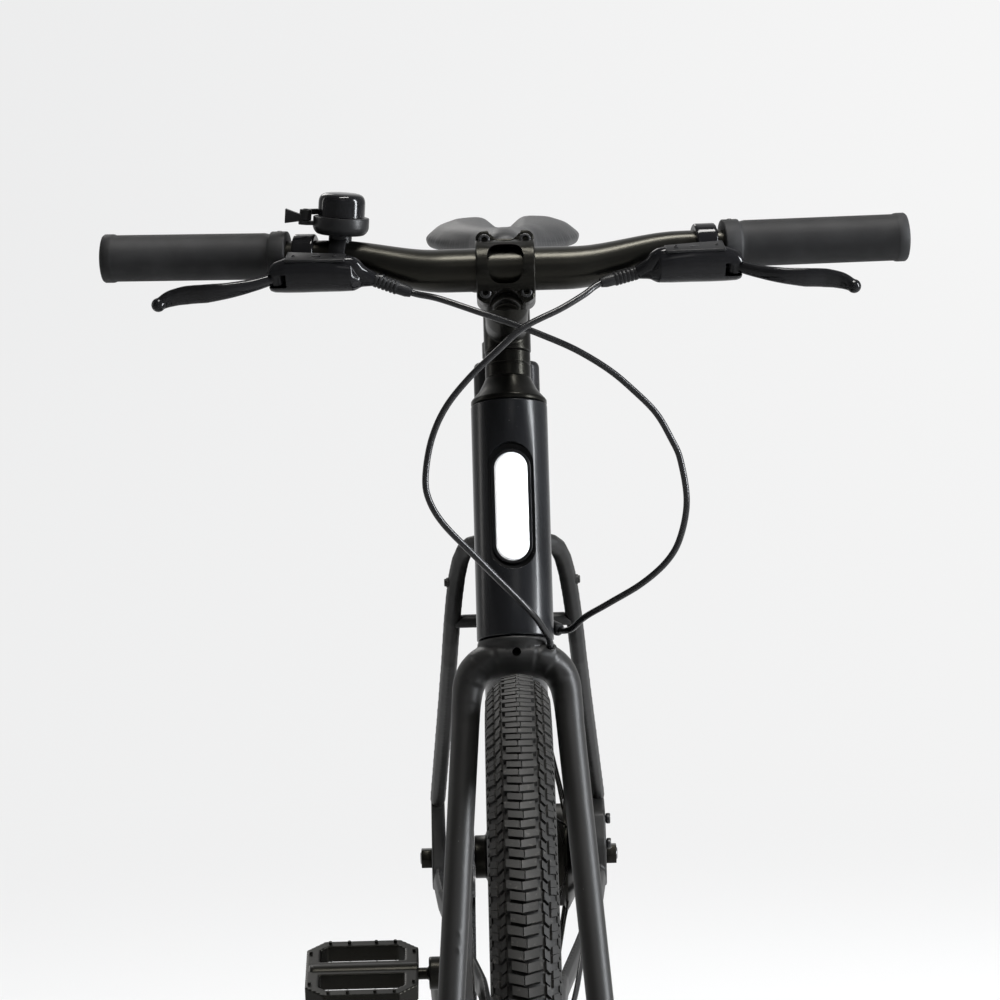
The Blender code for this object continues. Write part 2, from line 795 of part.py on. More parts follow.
# Head tube, with the headlight's pocket in its front
def head_tube():
    bore = STEERER_RADIUS + RUNNING_CLEARANCE
    edge = 0.0010
    profile = [
        (bore, CROWN_HEIGHT),
        (HEAD_TUBE_RADIUS - edge, CROWN_HEIGHT),
        (HEAD_TUBE_RADIUS, CROWN_HEIGHT + edge),
        (HEAD_TUBE_RADIUS, HEAD_TOP - edge),
        (HEAD_TUBE_RADIUS - edge, HEAD_TOP),
        (bore, HEAD_TOP),
    ]
    pocket = plate([pill(POCKET_WIDTH, POCKET_LENGTH, 6)], 0.020)
    return cut(turned(profile, 28, ring=True), facing(pocket, POCKET_FLOOR, LIGHT_HEIGHT))


piece("head_tube", head_tube(), "frame_paint", steering_axis)


# Headlight: a domed lens inside a thin bezel
def headlight_lens():
    sections = []
    for height, shrink in ((0.0, 0.0), (0.0034, 0.0), (0.0044, 0.0014), (LENS_STAND, 0.0050)):
        outline = pill(LENS_WIDTH - 2 * shrink, LENS_LENGTH - 2 * shrink, 7)
        sections.append([(x, y, height) for x, y in outline])
    return facing(loft(sections), POCKET_FLOOR + GAP, LIGHT_HEIGHT)


def headlight_bezel():
    inner = pill(LENS_WIDTH + 2 * GAP, LENS_LENGTH + 2 * GAP, 7)
    width = LENS_WIDTH + 2 * (GAP + BEZEL_WALL)
    outer = pill(width, LENS_LENGTH + 2 * (GAP + BEZEL_WALL), 7)
    return facing(plate([outer, inner], BEZEL_DEPTH), POCKET_FLOOR + GAP, LIGHT_HEIGHT)


piece("headlight_lens", headlight_lens(), "light_lens", steering_axis)
piece("headlight_bezel", headlight_bezel(), "gloss_black", steering_axis)


# Main tubes. Each is cut back from the tubes that it meets.
def head_cutter():
    return cylinder(
        HEAD_TUBE_RADIUS + GAP, STEERING @ Vector((0, 0, 0.30)),
        STEERING @ Vector((0, 0, HEAD_TOP + 0.03)), 32,
    )


def seat_cutter():
    return cylinder(
        SEAT_TUBE_RADIUS + GAP, SEAT @ Vector((0, 0, 0.005)),
        SEAT @ Vector((0, 0, SEAT_TUBE_LENGTH + 0.02)), 24,
    )


def shell_cutter():
    """The space of the bottom bracket shell and of its cups."""
    half = BOTTOM_BRACKET_WIDTH / 2 + 0.010
    shape = side_disc(BOTTOM_BRACKET_CUP_RADIUS + 2 * GAP, -half, half, 24)
    return moved(shape, Matrix.Translation(BOTTOM_BRACKET))


def straight_tube(start, end, radii, sides):
    middle = start.lerp(end, 0.5)
    centre_radius = (radii[0] + radii[1]) / 2
    return sweep([start, middle, end], [radii[0], centre_radius, radii[1]], sides)


def top_tube():
    start = STEERING @ Vector((0, 0, TOP_TUBE_JOIN_HEAD))
    end = SEAT @ Vector((0, 0, TOP_TUBE_JOIN_SEAT))
    return cut(straight_tube(start, end, TOP_TUBE_RADII, 16), head_cutter(), seat_cutter())


def port_sleeve(tip, inward, outer, length):
    """A short sleeve that a hose goes into, with its tip at a point."""
    return cylinder(outer, tip, Vector(tip) + inward * length, 10)


def port_bore(tip, inward, depth):
    """The hole for a hose's end, cut from in front of the sleeve's tip."""
    tip = Vector(tip)
    return cylinder(HOSE_RADIUS + 2 * GAP, tip - inward * 0.004, tip + inward * depth, 10)


def down_tube():
    start = STEERING @ Vector((0, 0, DOWN_TUBE_JOIN_HEAD))
    body = straight_tube(start, BOTTOM_BRACKET, DOWN_TUBE_RADII, 14)
    for tip, inward in (HEAD_HOSE_PORT, STAY_HOSE_PORT):
        body = joined(body, port_sleeve(tip, inward, PORT_RADIUS, 0.026))
    body = cut(body, head_cutter(), seat_cutter(), shell_cutter())
    for tip, inward in (HEAD_HOSE_PORT, STAY_HOSE_PORT):
        body = cut(body, port_bore(tip, inward, PORT_DEPTH))
    return body


def seat_tube():
    body = cylinder(SEAT_TUBE_RADIUS, (0, 0, 0.008), (0, 0, SEAT_TUBE_LENGTH), 20)
    shell = side_disc(BOTTOM_BRACKET_RADIUS + GAP, -0.05, 0.05, 28)
    bore_foot = SEAT_TUBE_LENGTH - SEATPOST_INSERTION - 0.080
    bore = cylinder(
        SEATPOST_RADIUS + RUNNING_CLEARANCE, (0, 0, bore_foot),
        (0, 0, SEAT_TUBE_LENGTH + 0.01), 20,
    )
    return cut(body, shell, bore)


def bottom_bracket_shell():
    bore = SPINDLE_RADIUS + RUNNING_CLEARANCE
    half = BOTTOM_BRACKET_WIDTH / 2
    cup = half + BOTTOM_BRACKET_CUP_WIDTH
    profile = [
        (bore, -cup),
        (BOTTOM_BRACKET_CUP_RADIUS, -cup),
        (BOTTOM_BRACKET_CUP_RADIUS, -half),
        (BOTTOM_BRACKET_RADIUS, -half),
        (BOTTOM_BRACKET_RADIUS, half),
        (BOTTOM_BRACKET_CUP_RADIUS, half),
        (BOTTOM_BRACKET_CUP_RADIUS, cup),
        (bore, cup),
    ]
    return wheel_ring(profile, 16, ring=True)


piece("top_tube", top_tube(), "frame_paint", None)
piece("down_tube", down_tube(), "frame_paint", None)
piece("seat_tube", seat_tube(), "frame_paint", seat_tube_foot)
piece("bottom_bracket_shell", bottom_bracket_shell(), "frame_paint", crank_axis)


# Seat stays, which pass round the battery and run down to the dropouts
def stay_path(side):
    """The stay's centre line, read more closely where it bends round the battery."""
    route = [Vector((side * x, y, z)) for x, y, z in SEAT_STAY_ROUTE]
    return smooth_path(route, 2)[:10] + route[5:]


def stay_across(height):
    """How far out the stay's centre line lies at a height over the axle."""
    for (x, _, high), (next_x, _, low) in zip(SEAT_STAY_ROUTE, SEAT_STAY_ROUTE[1:]):
        if low <= height <= high:
            return mixed(x, next_x, (high - height) / (high - low))
    return 0.0


def stay_body(side, extra):
    """The stay's tapered body, made larger all round by the extra for a cutter."""
    path = stay_path(side)
    last = len(path) - 1
    sizes = []
    for index in range(last + 1):
        sizes.append(mixed(SEAT_STAY_RADIUS, SEAT_STAY_TIP_RADIUS, index / last) + extra)
    return moved(sweep(path, sizes, 8), Matrix.Translation(REAR_AXLE))


def seat_stay(side):
    return cut(stay_body(side, 0), seat_cutter())


def stay_bridge():
    """A bar between the stays, whose ends are cut back from them."""
    across = SEAT_STAY_RADIUS + 0.050
    y, z = STAY_BRIDGE_PLACE
    start = REAR_AXLE + Vector((-across, y, z))
    end = REAR_AXLE + Vector((across, y, z))
    body = sweep([start, end], [STAY_BRIDGE_RADIUS] * 2, 12, Vector((0, 0, 1)))
    for side in (-1, 1):
        body = cut(body, stay_body(side, around(GAP, 8)))
        beyond = stay_across(z) - SEAT_STAY_RADIUS / 3 + 0.050
        outside = rounded_box((0.10, 0.20, 0.20), (side * beyond, y, z), 0)
        body = cut(body, moved(outside, Matrix.Translation(REAR_AXLE)))
    return body


piece("seat_stay_left", seat_stay(1), "frame_paint", None)
piece("seat_stay_right", seat_stay(-1), "frame_paint", None)
piece("stay_bridge", stay_bridge(), "frame_paint", None)


# Chain stays, each with the dropout that holds its end of the axle
def round_points(centre, radius, sides=10):
    return circle(radius, sides, centre)


def dropout(side):
    """The plate round the axle, drawn in Y and Z about the rear axle."""
    points = circle(DROPOUT_EYE_RADIUS, 16)
    points += round_points(CHAIN_STAY_END, 0.0125)
    fall = (Vector(SEAT_STAY_END) - Vector(SEAT_STAY_APPROACH)).normalized()
    corner = Vector(SEAT_STAY_END) + fall * (GAP + 0.0010)
    square = Vector((-fall.y, fall.x)) * (SEAT_STAY_TIP_RADIUS - 0.0010)
    points += [tuple(corner + square), tuple(corner - square)]
    loops_low = REAR_HUB_WIDTH / 2
    loops_high = loops_low + DROPOUT_THICKNESS
    if side > 0:
        for place in REAR_CALIPER_BOLTS:
            points += round_points(place, 0.0088)
    body = side_plate([hull(points)], loops_low, loops_high)
    holes = [side_disc(REAR_AXLE_RADIUS + RUNNING_CLEARANCE, 0.05, 0.10, 14)]
    foot = Vector(SEAT_STAY_ROUTE[-1])
    along = (foot - Vector(SEAT_STAY_ROUTE[-2])).normalized()
    seat = SEAT_STAY_TIP_RADIUS + 0.0014
    holes.append(cylinder(seat, foot - along * 0.050, foot + along * (GAP + 0.0007), 12))
    if side > 0:
        holes += [side_disc(0.0032, 0.05, 0.10, 8, place) for place in REAR_CALIPER_BOLTS]
        holes.append(side_disc(0.0085, 0.05, 0.10, 12, (-0.0300, 0.0235)))
    else:
        holes.append(side_disc(0.0085, 0.05, 0.10, 12, (-0.0250, 0.0200)))
    return body, holes


def chain_stay(side):
    path = smooth_path([Vector(point) for point in CHAIN_STAY_ROUTE], 1)
    last = len(path) - 1
    sizes = []
    for index in range(last + 1):
        share = index / last
        across = CHAIN_STAY_HALF_WIDTH
        sizes.append((across, mixed(CHAIN_STAY_HALF_HEIGHT, 0.0122, share)))
    stay = moved(sweep(path, sizes, 8), Matrix.Translation(BOTTOM_BRACKET - REAR_AXLE))
    body, holes = dropout(side)
    body = joined(body, stay)
    shell = moved(shell_cutter(), Matrix.Translation(-REAR_AXLE))
    body = cut(body, shell, *holes)
    if side < 0:
        body = moved(body, Matrix.Scale(-1, 4, (1, 0, 0)))
    return body


piece("chain_stay_left", chain_stay(1), "frame_paint", rear_wheel_axis)
piece("chain_stay_right", chain_stay(-1), "frame_paint", rear_wheel_axis)


# Rear axle, fixed in the dropouts, with a nut on each end
def rear_axle():
    half = REAR_AXLE_LENGTH / 2
    inside = REAR_HUB_WIDTH / 2 - GAP
    rod = REAR_AXLE_RADIUS
    profile = [
        (0, -half), (rod - 0.001, -half), (rod, -half + 0.001),
        (rod, -inside), (0.0095, -inside), (0.0095, -SPROCKET_BOSS_END - GAP),
        (rod, -SPROCKET_BOSS_END - GAP), (rod, MOTOR_BOSS_END + GAP),
        (0.0095, MOTOR_BOSS_END + GAP), (0.0095, inside), (rod, inside),
        (rod, half - 0.001), (rod - 0.001, half), (0, half),
    ]
    return wheel_ring(profile, 10)


def axle_nut(side):
    low = REAR_HUB_WIDTH / 2 + DROPOUT_THICKNESS + GAP
    loops = [circle(AXLE_NUT_FLATS / sqrt(3), 6), circle(REAR_AXLE_RADIUS + GAP, 14)]
    if side > 0:
        return side_plate(loops, low, low + AXLE_NUT_HEIGHT)
    return side_plate(loops, -low - AXLE_NUT_HEIGHT, -low)


piece("rear_axle", rear_axle(), "steel", rear_wheel_axis)
piece("axle_nut_left", axle_nut(1), "steel", rear_wheel_axis)
piece("axle_nut_right", axle_nut(-1), "steel", rear_wheel_axis)


# Fork: one piece with its crown, legs, steerer and dropouts
def fork_leg_path(side):
    path = []
    for share in (0.0, 1.0):
        height = mixed(0.010, 0.320, share)
        width = mixed(FORK_TIP_HALF_WIDTH, FORK_CROWN_HALF_WIDTH, height / 0.320)
        radius = mixed(FORK_TIP_RADIUS, FORK_LEG_RADIUS, share)
        path.append(((side * width, height), (radius, radius)))
    for (width, height), radius, depth in FORK_SHOULDER:
        path.append(((side * width, height), (depth, radius)))
    return path


def fork_forward(height):
    """How far the leg's centre line stands in front of the steering axis."""
    return FORK_OFFSET * max(0.0, 1 - height / FORK_STRAIGHT_TOP)


def fork():
    left = fork_leg_path(1)
    right = fork_leg_path(-1)
    middle = [((0.0, CROWN_HEIGHT - FORK_CROWN_DROP), (FORK_CROWN_DEPTH, FORK_CROWN_RADIUS))]
    line = left + middle + list(reversed(right))
    path = [Vector((x, -fork_forward(t), t)) for (x, t), size in line]
    sizes = [size for place, size in line]
    body = sweep(path, sizes, 10, Vector((0, 1, 0)))
    seat = CROWN_HEIGHT - GAP - 0.0002
    steerer = turned([
        (0, seat - 0.0160), (0.0180, seat - 0.0140), (0.0255, seat - 0.0085),
        (0.0282, seat - 0.0040), (0.0282, seat), (STEERER_RADIUS, seat),
        (STEERER_RADIUS, STEM_TOP - 0.0010), (0, STEM_TOP - 0.0010),
    ], 16)
    body = joined(body, steerer)
    low = FRONT_HUB_WIDTH / 2
    for side in (-1, 1):
        eye = side_disc(0.0140, low, low + 0.0160, 12, (-FORK_OFFSET, 0))
        if side < 0:
            eye = moved(eye, Matrix.Scale(-1, 4, (1, 0, 0)))
        body = joined(body, eye)
    for height in FRONT_CALIPER_BOLTS:
        pad = cylinder(
            0.0062, (FRONT_CALIPER_X, -fork_forward(height), height),
            (FRONT_CALIPER_X, FRONT_CALIPER_FOOT, height), 8,
        )
        body = joined(body, pad)
    tip, inward = CROWN_HOSE_PORT
    body = joined(body, port_sleeve(tip, inward, 0.0046, 0.016))
    body = cut(body, port_bore(tip, inward, PORT_DEPTH))
    axle = side_disc(FRONT_AXLE_RADIUS + RUNNING_CLEARANCE, -0.08, 0.08, 12, (-FORK_OFFSET, 0))
    hole_height = CROWN_HEIGHT - 0.0125
    hole = cylinder(CROWN_HOLE_RADIUS, (0, -0.03, hole_height), (0, -0.004, hole_height), 8)
    return cut(body, axle, hole)


def front_axle():
    rod = FRONT_AXLE_RADIUS
    face = FRONT_HUB_WIDTH / 2 + 0.0160 + GAP
    head = face + 0.0042
    profile = [
        (0, -head), (0.0085, -head), (0.0095, -head + 0.001), (0.0095, -face), (rod, -face),
        (rod, face), (0.0095, face), (0.0095, head - 0.001), (0.0085, head), (0, head),
    ]
    return wheel_ring(profile, 10)


piece("fork", fork(), "frame_paint", steering_axis)
piece("front_axle", front_axle(), "black_anodised", front_wheel_axis)


# Headset cover and spacer above the head tube
def headset_cover():
    base = HEAD_TOP + GAP
    top = SPACER_BASE - GAP
    bore = STEERER_RADIUS + GAP
    profile = [
        (bore, base), (0.0276, base), (0.0283, base + 0.0008), (0.0283, base + 0.0030),
        (0.0220, base + 0.0105), (0.0172, top), (bore, top),
    ]
    return turned(profile, 18, ring=True)


def stem_spacer():
    base = SPACER_BASE
    top = STEM_BASE - GAP
    middle = (base + top) / 2
    bore = STEERER_RADIUS + GAP
    profile = [
        (bore, base), (SPACER_RADIUS, base), (SPACER_RADIUS, middle - 0.0007),
        (SPACER_RADIUS - 0.0008, middle), (SPACER_RADIUS, middle + 0.0007),
        (SPACER_RADIUS, top), (bore, top),
    ]
    return turned(profile, 16, ring=True)


piece("headset_cover", headset_cover(), "black_anodised", steering_axis)
piece("stem_spacer", stem_spacer(), "black_anodised", steering_axis)


# Stem, its faceplate and its cap
def stem():
    middle = STEM_BASE + STEM_CLAMP_HEIGHT / 2
    clamp = turned([
        (0, STEM_BASE), (STEM_CLAMP_RADIUS - 0.001, STEM_BASE),
        (STEM_CLAMP_RADIUS, STEM_BASE + 0.001), (STEM_CLAMP_RADIUS, STEM_TOP - 0.001),
        (STEM_CLAMP_RADIUS - 0.001, STEM_TOP), (0, STEM_TOP),
    ], 20)
    back, up = Vector((0, 1, 0)), Vector((0, 0, 1))
    sections = []
    for forward, height, half_width, half_height in (
        (0.004, middle, 0.0158, 0.0180),
        (0.030, middle + 0.003, 0.0160, 0.0165),
        (0.055, BAR_HEIGHT - 0.004, 0.0185, 0.0185),
        (0.074, BAR_HEIGHT, 0.0205, 0.0225),
    ):
        centre = Vector((0, -forward, height))
        sections.append(oval(centre, Vector((1, 0, 0)), up, half_width, half_height, 12, pi / 12))
    arm = loft(sections)
    half = BAR_CLAMP_WIDTH / 2
    place = Matrix.Translation((0, -STEM_REACH, BAR_HEIGHT))
    barrel = moved(side_disc(BAR_CENTRE_RADIUS + BAR_CLAMP_WALL, -half, half, 22), place)
    ears = rounded_box((2 * half, 0.016, FACEPLATE_HEIGHT), (0, 0.0078, 0), 0.0016)
    body = joined(clamp, arm, barrel, moved(ears, place))
    split = rounded_box((0.10, 0.10, 0.10), (0, -0.05 - STEM_REACH, BAR_HEIGHT), 0)
    bore = moved(side_disc(BAR_CENTRE_RADIUS + 2 * GAP, -0.05, 0.05, 20), place)
    steerer = cylinder(STEERER_RADIUS + GAP, (0, 0, 0.58), (0, 0, 0.70), 20)
    waist = [moved(cylinder(0.0125, (0, -0.02, 0), (0, 0.0140, 0), 16), shift)
             for shift in stem_waists()]
    return cut(body, split, bore, steerer, *waist)


def stem_waists():
    """The places of the arches between the ears, over and under the bar."""
    drop = FACEPLATE_HEIGHT / 2 + 0.0070
    return [Matrix.Translation((0, -STEM_REACH, BAR_HEIGHT + sign * drop)) for sign in (-1, 1)]


def stem_faceplate():
    half = BAR_CLAMP_WIDTH / 2
    place = Matrix.Translation((0, -STEM_REACH, BAR_HEIGHT))
    barrel = moved(side_disc(BAR_CENTRE_RADIUS + BAR_CLAMP_WALL, -half, half, 22), place)
    ears = rounded_box((2 * half, 2 * FACEPLATE_DEPTH, FACEPLATE_HEIGHT), (0, 0, 0), 0.0022)
    body = joined(barrel, moved(ears, place))
    split = rounded_box((0.10, 0.10, 0.10), (0, 0.05 - STEM_REACH - GAP, BAR_HEIGHT), 0)
    bore = moved(side_disc(BAR_CENTRE_RADIUS + 2 * GAP, -0.05, 0.05, 20), place)
    top_width, foot_width, height = FACEPLATE_WINDOW
    radius = top_width / 2
    outline = [(-foot_width / 2, -height / 2), (foot_width / 2, -height / 2)]
    for step in range(9):
        angle = pi * step / 8
        outline.append((radius * cos(angle), height / 2 - radius + radius * sin(angle)))
    window = facing(plate([outline], 0.03), STEM_REACH, BAR_HEIGHT)
    arches = [moved(cylinder(0.0125, (0, -0.03, 0), (0, 0.01, 0), 16), shift)
              for shift in stem_waists()]
    body = cut(body, split, bore, window, *arches)
    for x in (-FACEPLATE_BOLT_SPACING[0] / 2, FACEPLATE_BOLT_SPACING[0] / 2):
        for z in (-FACEPLATE_BOLT_SPACING[1] / 2, FACEPLATE_BOLT_SPACING[1] / 2):
            front = -STEM_REACH - FACEPLATE_DEPTH
            head = cylinder(
                FACEPLATE_BOLT_RADIUS, (x, front + 0.004, BAR_HEIGHT + z),
                (x, front - 0.0022, BAR_HEIGHT + z), 10,
            )
            body = joined(body, head)
    return body


def stem_cap():
    base = STEM_TOP + GAP
    profile = [
        (0, base), (0.0168, base), (0.0168, base + 0.0030), (0.0158, base + 0.0042),
        (0, base + 0.0042),
    ]
    return turned(profile, 16)


piece("stem", stem(), "black_anodised", steering_axis)
piece("stem_faceplate", stem_faceplate(), "black_anodised", steering_axis)
piece("stem_cap", stem_cap(), "black_anodised", steering_axis)


# Handlebar and grips
def bar_point(x):
    """The bar's centre line: it rises and sweeps back on either side of the clamp."""
    span = abs(x)
    bend = max(0.0, span - BAR_BEND_START)
    back = tan(BAR_SWEEP) * (sqrt(bend ** 2 + 0.006 ** 2) - 0.006)
    return Vector((x, back, BAR_RISE * smooth_step(BAR_BEND_START, BAR_TAPER_END, span)))


def bar_radius(x):
    share = smooth_step(0.040, BAR_TAPER_END, abs(x))
    return mixed(BAR_CENTRE_RADIUS, BAR_END_RADIUS, share)


def outward(side):
    """The direction along the bar towards its end."""
    return Vector((side * cos(BAR_SWEEP), sin(BAR_SWEEP), 0))


def handlebar():
    half = [0.024, 0.042, 0.056, 0.070, 0.084, 0.098, 0.113, 0.132, BAR_HALF_WIDTH]
    stations = [-x for x in reversed(half)] + half
    path = [bar_point(x) for x in stations]
    return sweep(path, [bar_radius(x) for x in stations], 10, Vector((0, 0, 1)))


def grip(side):
    start = bar_point(side * (BAR_HALF_WIDTH + GRIP_END_WALL - GRIP_LENGTH))
    along = outward(side)
    length = GRIP_LENGTH / cos(BAR_SWEEP)
    bottom = length - (GRIP_END_WALL - GAP) / cos(BAR_SWEEP)
    bore = around(BAR_END_RADIUS + GAP, 12)
    rest = GRIP_RADIUS
    profile = [
        (0, bottom), (bore, bottom), (bore, 0), (GRIP_COLLAR_RADIUS - 0.0006, 0),
        (GRIP_COLLAR_RADIUS, 0.0010), (GRIP_COLLAR_RADIUS, GRIP_COLLAR_LENGTH),
        (rest - 0.0004, GRIP_COLLAR_LENGTH + 0.0012),
        (rest - 0.0002, length - 0.0090), (rest + 0.0008, length - 0.0078),
        (rest + 0.0008, length - 0.0012), (rest - 0.0010, length), (0, length),
    ]
    turn = along.to_track_quat("Z", "Y").to_matrix().to_4x4()
    return moved(turned(profile, 12), Matrix.Translation(start) @ turn)


piece("handlebar", handlebar(), "black_anodised", bar_centre)
piece("grip_left", grip(1), "grip_rubber", bar_centre)
piece("grip_right", grip(-1), "grip_rubber", bar_centre)


# Brake levers. Each is drawn along the bar, forward in the lever's plane, and square to it.
def lever_axes(side):
    along = outward(side)
    level = Vector((side * sin(BAR_SWEEP), -cos(BAR_SWEEP), 0))
    up = Vector((0, 0, 1))
    forward = level * cos(LEVER_TILT) - up * sin(LEVER_TILT)
    square = level * sin(LEVER_TILT) + up * cos(LEVER_TILT)
    return Matrix((along, forward, square)).transposed().to_4x4()


def lever_place(side):
    return Matrix.Translation(bar_point(side * LEVER_CLAMP_POSITION)) @ lever_axes(side)


def lever_point(side, point):
    """A point of the lever's drawing, in the bar's frame."""
    return lever_place(side) @ Vector(point)


def brake_body(side):
    along, forward, square = Vector((1, 0, 0)), Vector((0, 1, 0)), Vector((0, 0, 1))
    sections = []
    for u, v, w, half_v, half_w in LEVER_BODY:
        sections.append(oval(Vector((u, v, w)), forward, square, half_v, half_w, 10, pi / 10))
    body = loft(sections)
    half = LEVER_CLAMP_WIDTH / 2
    outer = BAR_END_RADIUS + GAP + LEVER_CLAMP_WALL
    clamp = side_disc(outer, -half, half, 16)
    neck = rounded_box((2 * half - 0.001, 0.016, 0.016), (0, 0.017, 0), 0.0015)
    hinge = rounded_box((0.012, 0.009, 0.011), (0, -outer - 0.0015, 0), 0.0015)
    body = joined(body, clamp, neck, hinge)
    u, v = LEVER_PIVOT
    slot = rounded_box((0.040, 0.050, LEVER_SLOT_HEIGHT), (u + 0.0117, v + 0.0164, LEVER_LEVEL), 0)
    bore = side_disc(BAR_END_RADIUS + 2 * GAP, -0.02, 0.02, 14)
    body = cut(body, slot, bore)
    reach = LEVER_SLOT_HEIGHT / 2 + 0.0030
    pin = cylinder(
        LEVER_PIVOT_PIN_RADIUS, (u, v, LEVER_LEVEL - reach), (u, v, LEVER_LEVEL + reach), 10,
    )
    body = joined(body, pin)
    u, v, w, half_v, half_w = LEVER_BODY[0]
    body = cut(body, port_bore((u, v, w), Vector((1, 0, 0)), 0.006))
    return moved(body, lever_place(side))


def brake_lever(side):
    """The blade, with its boss at the pivot and a ball at its tip."""
    path = [Vector((u, v, w)) for u, v, w, half_w, half_v in LEVER_BLADE]
    sizes = [(half_w, half_v) for u, v, w, half_w, half_v in LEVER_BLADE]
    body = sweep(path, sizes, 8, Vector((0, 0, 1)))
    u, v = LEVER_PIVOT
    half = LEVER_BOSS_HEIGHT / 2
    boss = cylinder(LEVER_BOSS_RADIUS, (u, v, -half), (u, v, half), 14)
    tip_u, tip_v, tip_w, half_w, half_v = LEVER_BLADE[-1]
    ball = bmesh.new()
    bmesh.ops.create_uvsphere(ball, u_segments=10, v_segments=6, radius=LEVER_TIP_RADIUS)
    ball = moved(ball, Matrix.Translation((tip_u, tip_v, tip_w)))
    body = joined(body, boss, ball)
    clearance = LEVER_PIVOT_PIN_RADIUS + GAP
    body = cut(body, cylinder(clearance, (u, v, -0.02), (u, v, 0.02), 10))
    body = moved(body, Matrix.Translation((-u, -v, 0)))
    return moved(body, lever_axes(side))


for side, label in ((1, "left"), (-1, "right")):
    pivot = BAR_CENTRE + lever_point(side, (*LEVER_PIVOT, LEVER_LEVEL))
    lever_pivot = mount("lever_pivot_" + label, Matrix.Translation(pivot), bar_centre)
    piece("brake_body_" + label, brake_body(side), "gloss_black", bar_centre)
    piece("brake_lever_" + label, brake_lever(side), "gloss_black", lever_pivot)


# Bell on the right of the bar, leaned a little inwards
def bell_place():
    lean = Matrix.Rotation(BELL_LEAN, 4, "Y")
    return Matrix.Translation(bar_point(BELL_POSITION)) @ lean


def bell_base():
    half = BELL_BAND_WIDTH / 2
    inner = bar_radius(BELL_POSITION + half) + 2 * GAP
    outer = inner + BELL_BAND_WALL
    band = side_disc(outer, -half, half, 14)
    ring_top = BELL_RING_HEIGHT
    cup = turned([
        (0, 0.0085), (BELL_NECK_RADIUS, 0.0085), (BELL_NECK_RADIUS, BELL_CUP_HEIGHT),
        (0.0150, BELL_CUP_HEIGHT), (0.0185, BELL_CUP_HEIGHT + 0.0018),
        (BELL_RING_RADIUS, BELL_CUP_HEIGHT + 0.0052),
        (BELL_RING_RADIUS, ring_top), (0.0035, ring_top),
        (0.0035, ring_top + BELL_DOME_HEIGHT - 0.0034),
        (0, ring_top + BELL_DOME_HEIGHT - 0.0034),
    ], 18)
    lug = cylinder(0.0050, (-BELL_PIVOT, 0, ring_top - 0.0070), (-BELL_PIVOT, 0, ring_top - 0.0040), 14)
    web = rounded_box((0.010, 0.008, 0.0030), (-BELL_PIVOT + 0.005, 0, ring_top - 0.0055), 0)
    pin = cylinder(0.0018, (-BELL_PIVOT, 0, ring_top - 0.0060), (-BELL_PIVOT, 0, ring_top + 0.0045), 10)
    along = bar_point(BELL_POSITION + half) - bar_point(BELL_POSITION - half)
    bore = Matrix.Rotation(-BELL_LEAN, 4, "Y") @ along.to_track_quat("X", "Z").to_matrix().to_4x4()
    body = joined(moved(band, bore), cup, lug, web, pin)
    body = cut(body, moved(side_disc(inner + 0.0002, -0.02, 0.02, 14), bore))
    return moved(body, bell_place())


def bell_dome():
    base = BELL_RING_HEIGHT + GAP
    top = BELL_RING_HEIGHT + BELL_DOME_HEIGHT
    wall = 0.0018
    profile = []
    for radius, height, shares in (
        (BELL_DOME_RADIUS - wall, top - base - wall, ((0, 1), (0.74, 0.90), (1, 0.58), (1, 0))),
        (BELL_DOME_RADIUS, top - base, ((1, 0), (1, 0.58), (0.92, 0.79), (0.70, 0.93), (0, 1))),
    ):
        for across, up in shares:
            profile.append((radius * across, base + height * up))
    return moved(turned(profile, 18), bell_place())


def bell_striker():
    """A thumb tab on a pin, with a short arm whose tip rests just clear of the dome."""
    low = BELL_RING_HEIGHT - 0.0037
    high = BELL_RING_HEIGHT + 0.0042
    boss = cylinder(0.0044, (0, 0, low), (0, 0, high), 14)
    sections = []
    for x, half_y, foot, top in (
        (0.0, 0.0030, low + 0.0004, high - 0.0022), (-0.0056, 0.0032, low + 0.0002, high - 0.0022),
        (-0.0062, 0.0034, low - 0.0030, high - 0.0022), (-0.0150, 0.0040, low - 0.0026, high + 0.0002),
    ):
        sections.append([
            Vector((x, -half_y, foot)), Vector((x, half_y, foot)),
            Vector((x, half_y, top)), Vector((x, -half_y, top)),
        ])
    tab = loft(sections)
    tip = Vector((0.0098, 0.0112, 0))
    arm = rounded_box((tip.length, 0.0030, 0.0032), (tip.length / 2, 0, 0), 0)
    turn = Matrix.Rotation(atan2(tip.y, tip.x), 4, "Z")
    arm = moved(arm, Matrix.Translation((0, 0, BELL_RING_HEIGHT + 0.0023)) @ turn)
    body = joined(boss, tab, arm)
    body = cut(body, cylinder(0.0018 + GAP, (0, 0, low - 0.005), (0, 0, high + 0.005), 12))
    return body


bell_hinge_place = Matrix.Translation(BAR_CENTRE) @ bell_place()
bell_hinge_place = bell_hinge_place @ Matrix.Translation((-BELL_PIVOT, 0, 0))
bell_hinge = mount("bell_hinge", bell_hinge_place, bar_centre)
piece("bell_base", bell_base(), "black_plastic", bar_centre)
piece("bell_dome", bell_dome(), "black_anodised", bar_centre)
piece("bell_striker", bell_striker(), "black_plastic", bell_hinge)


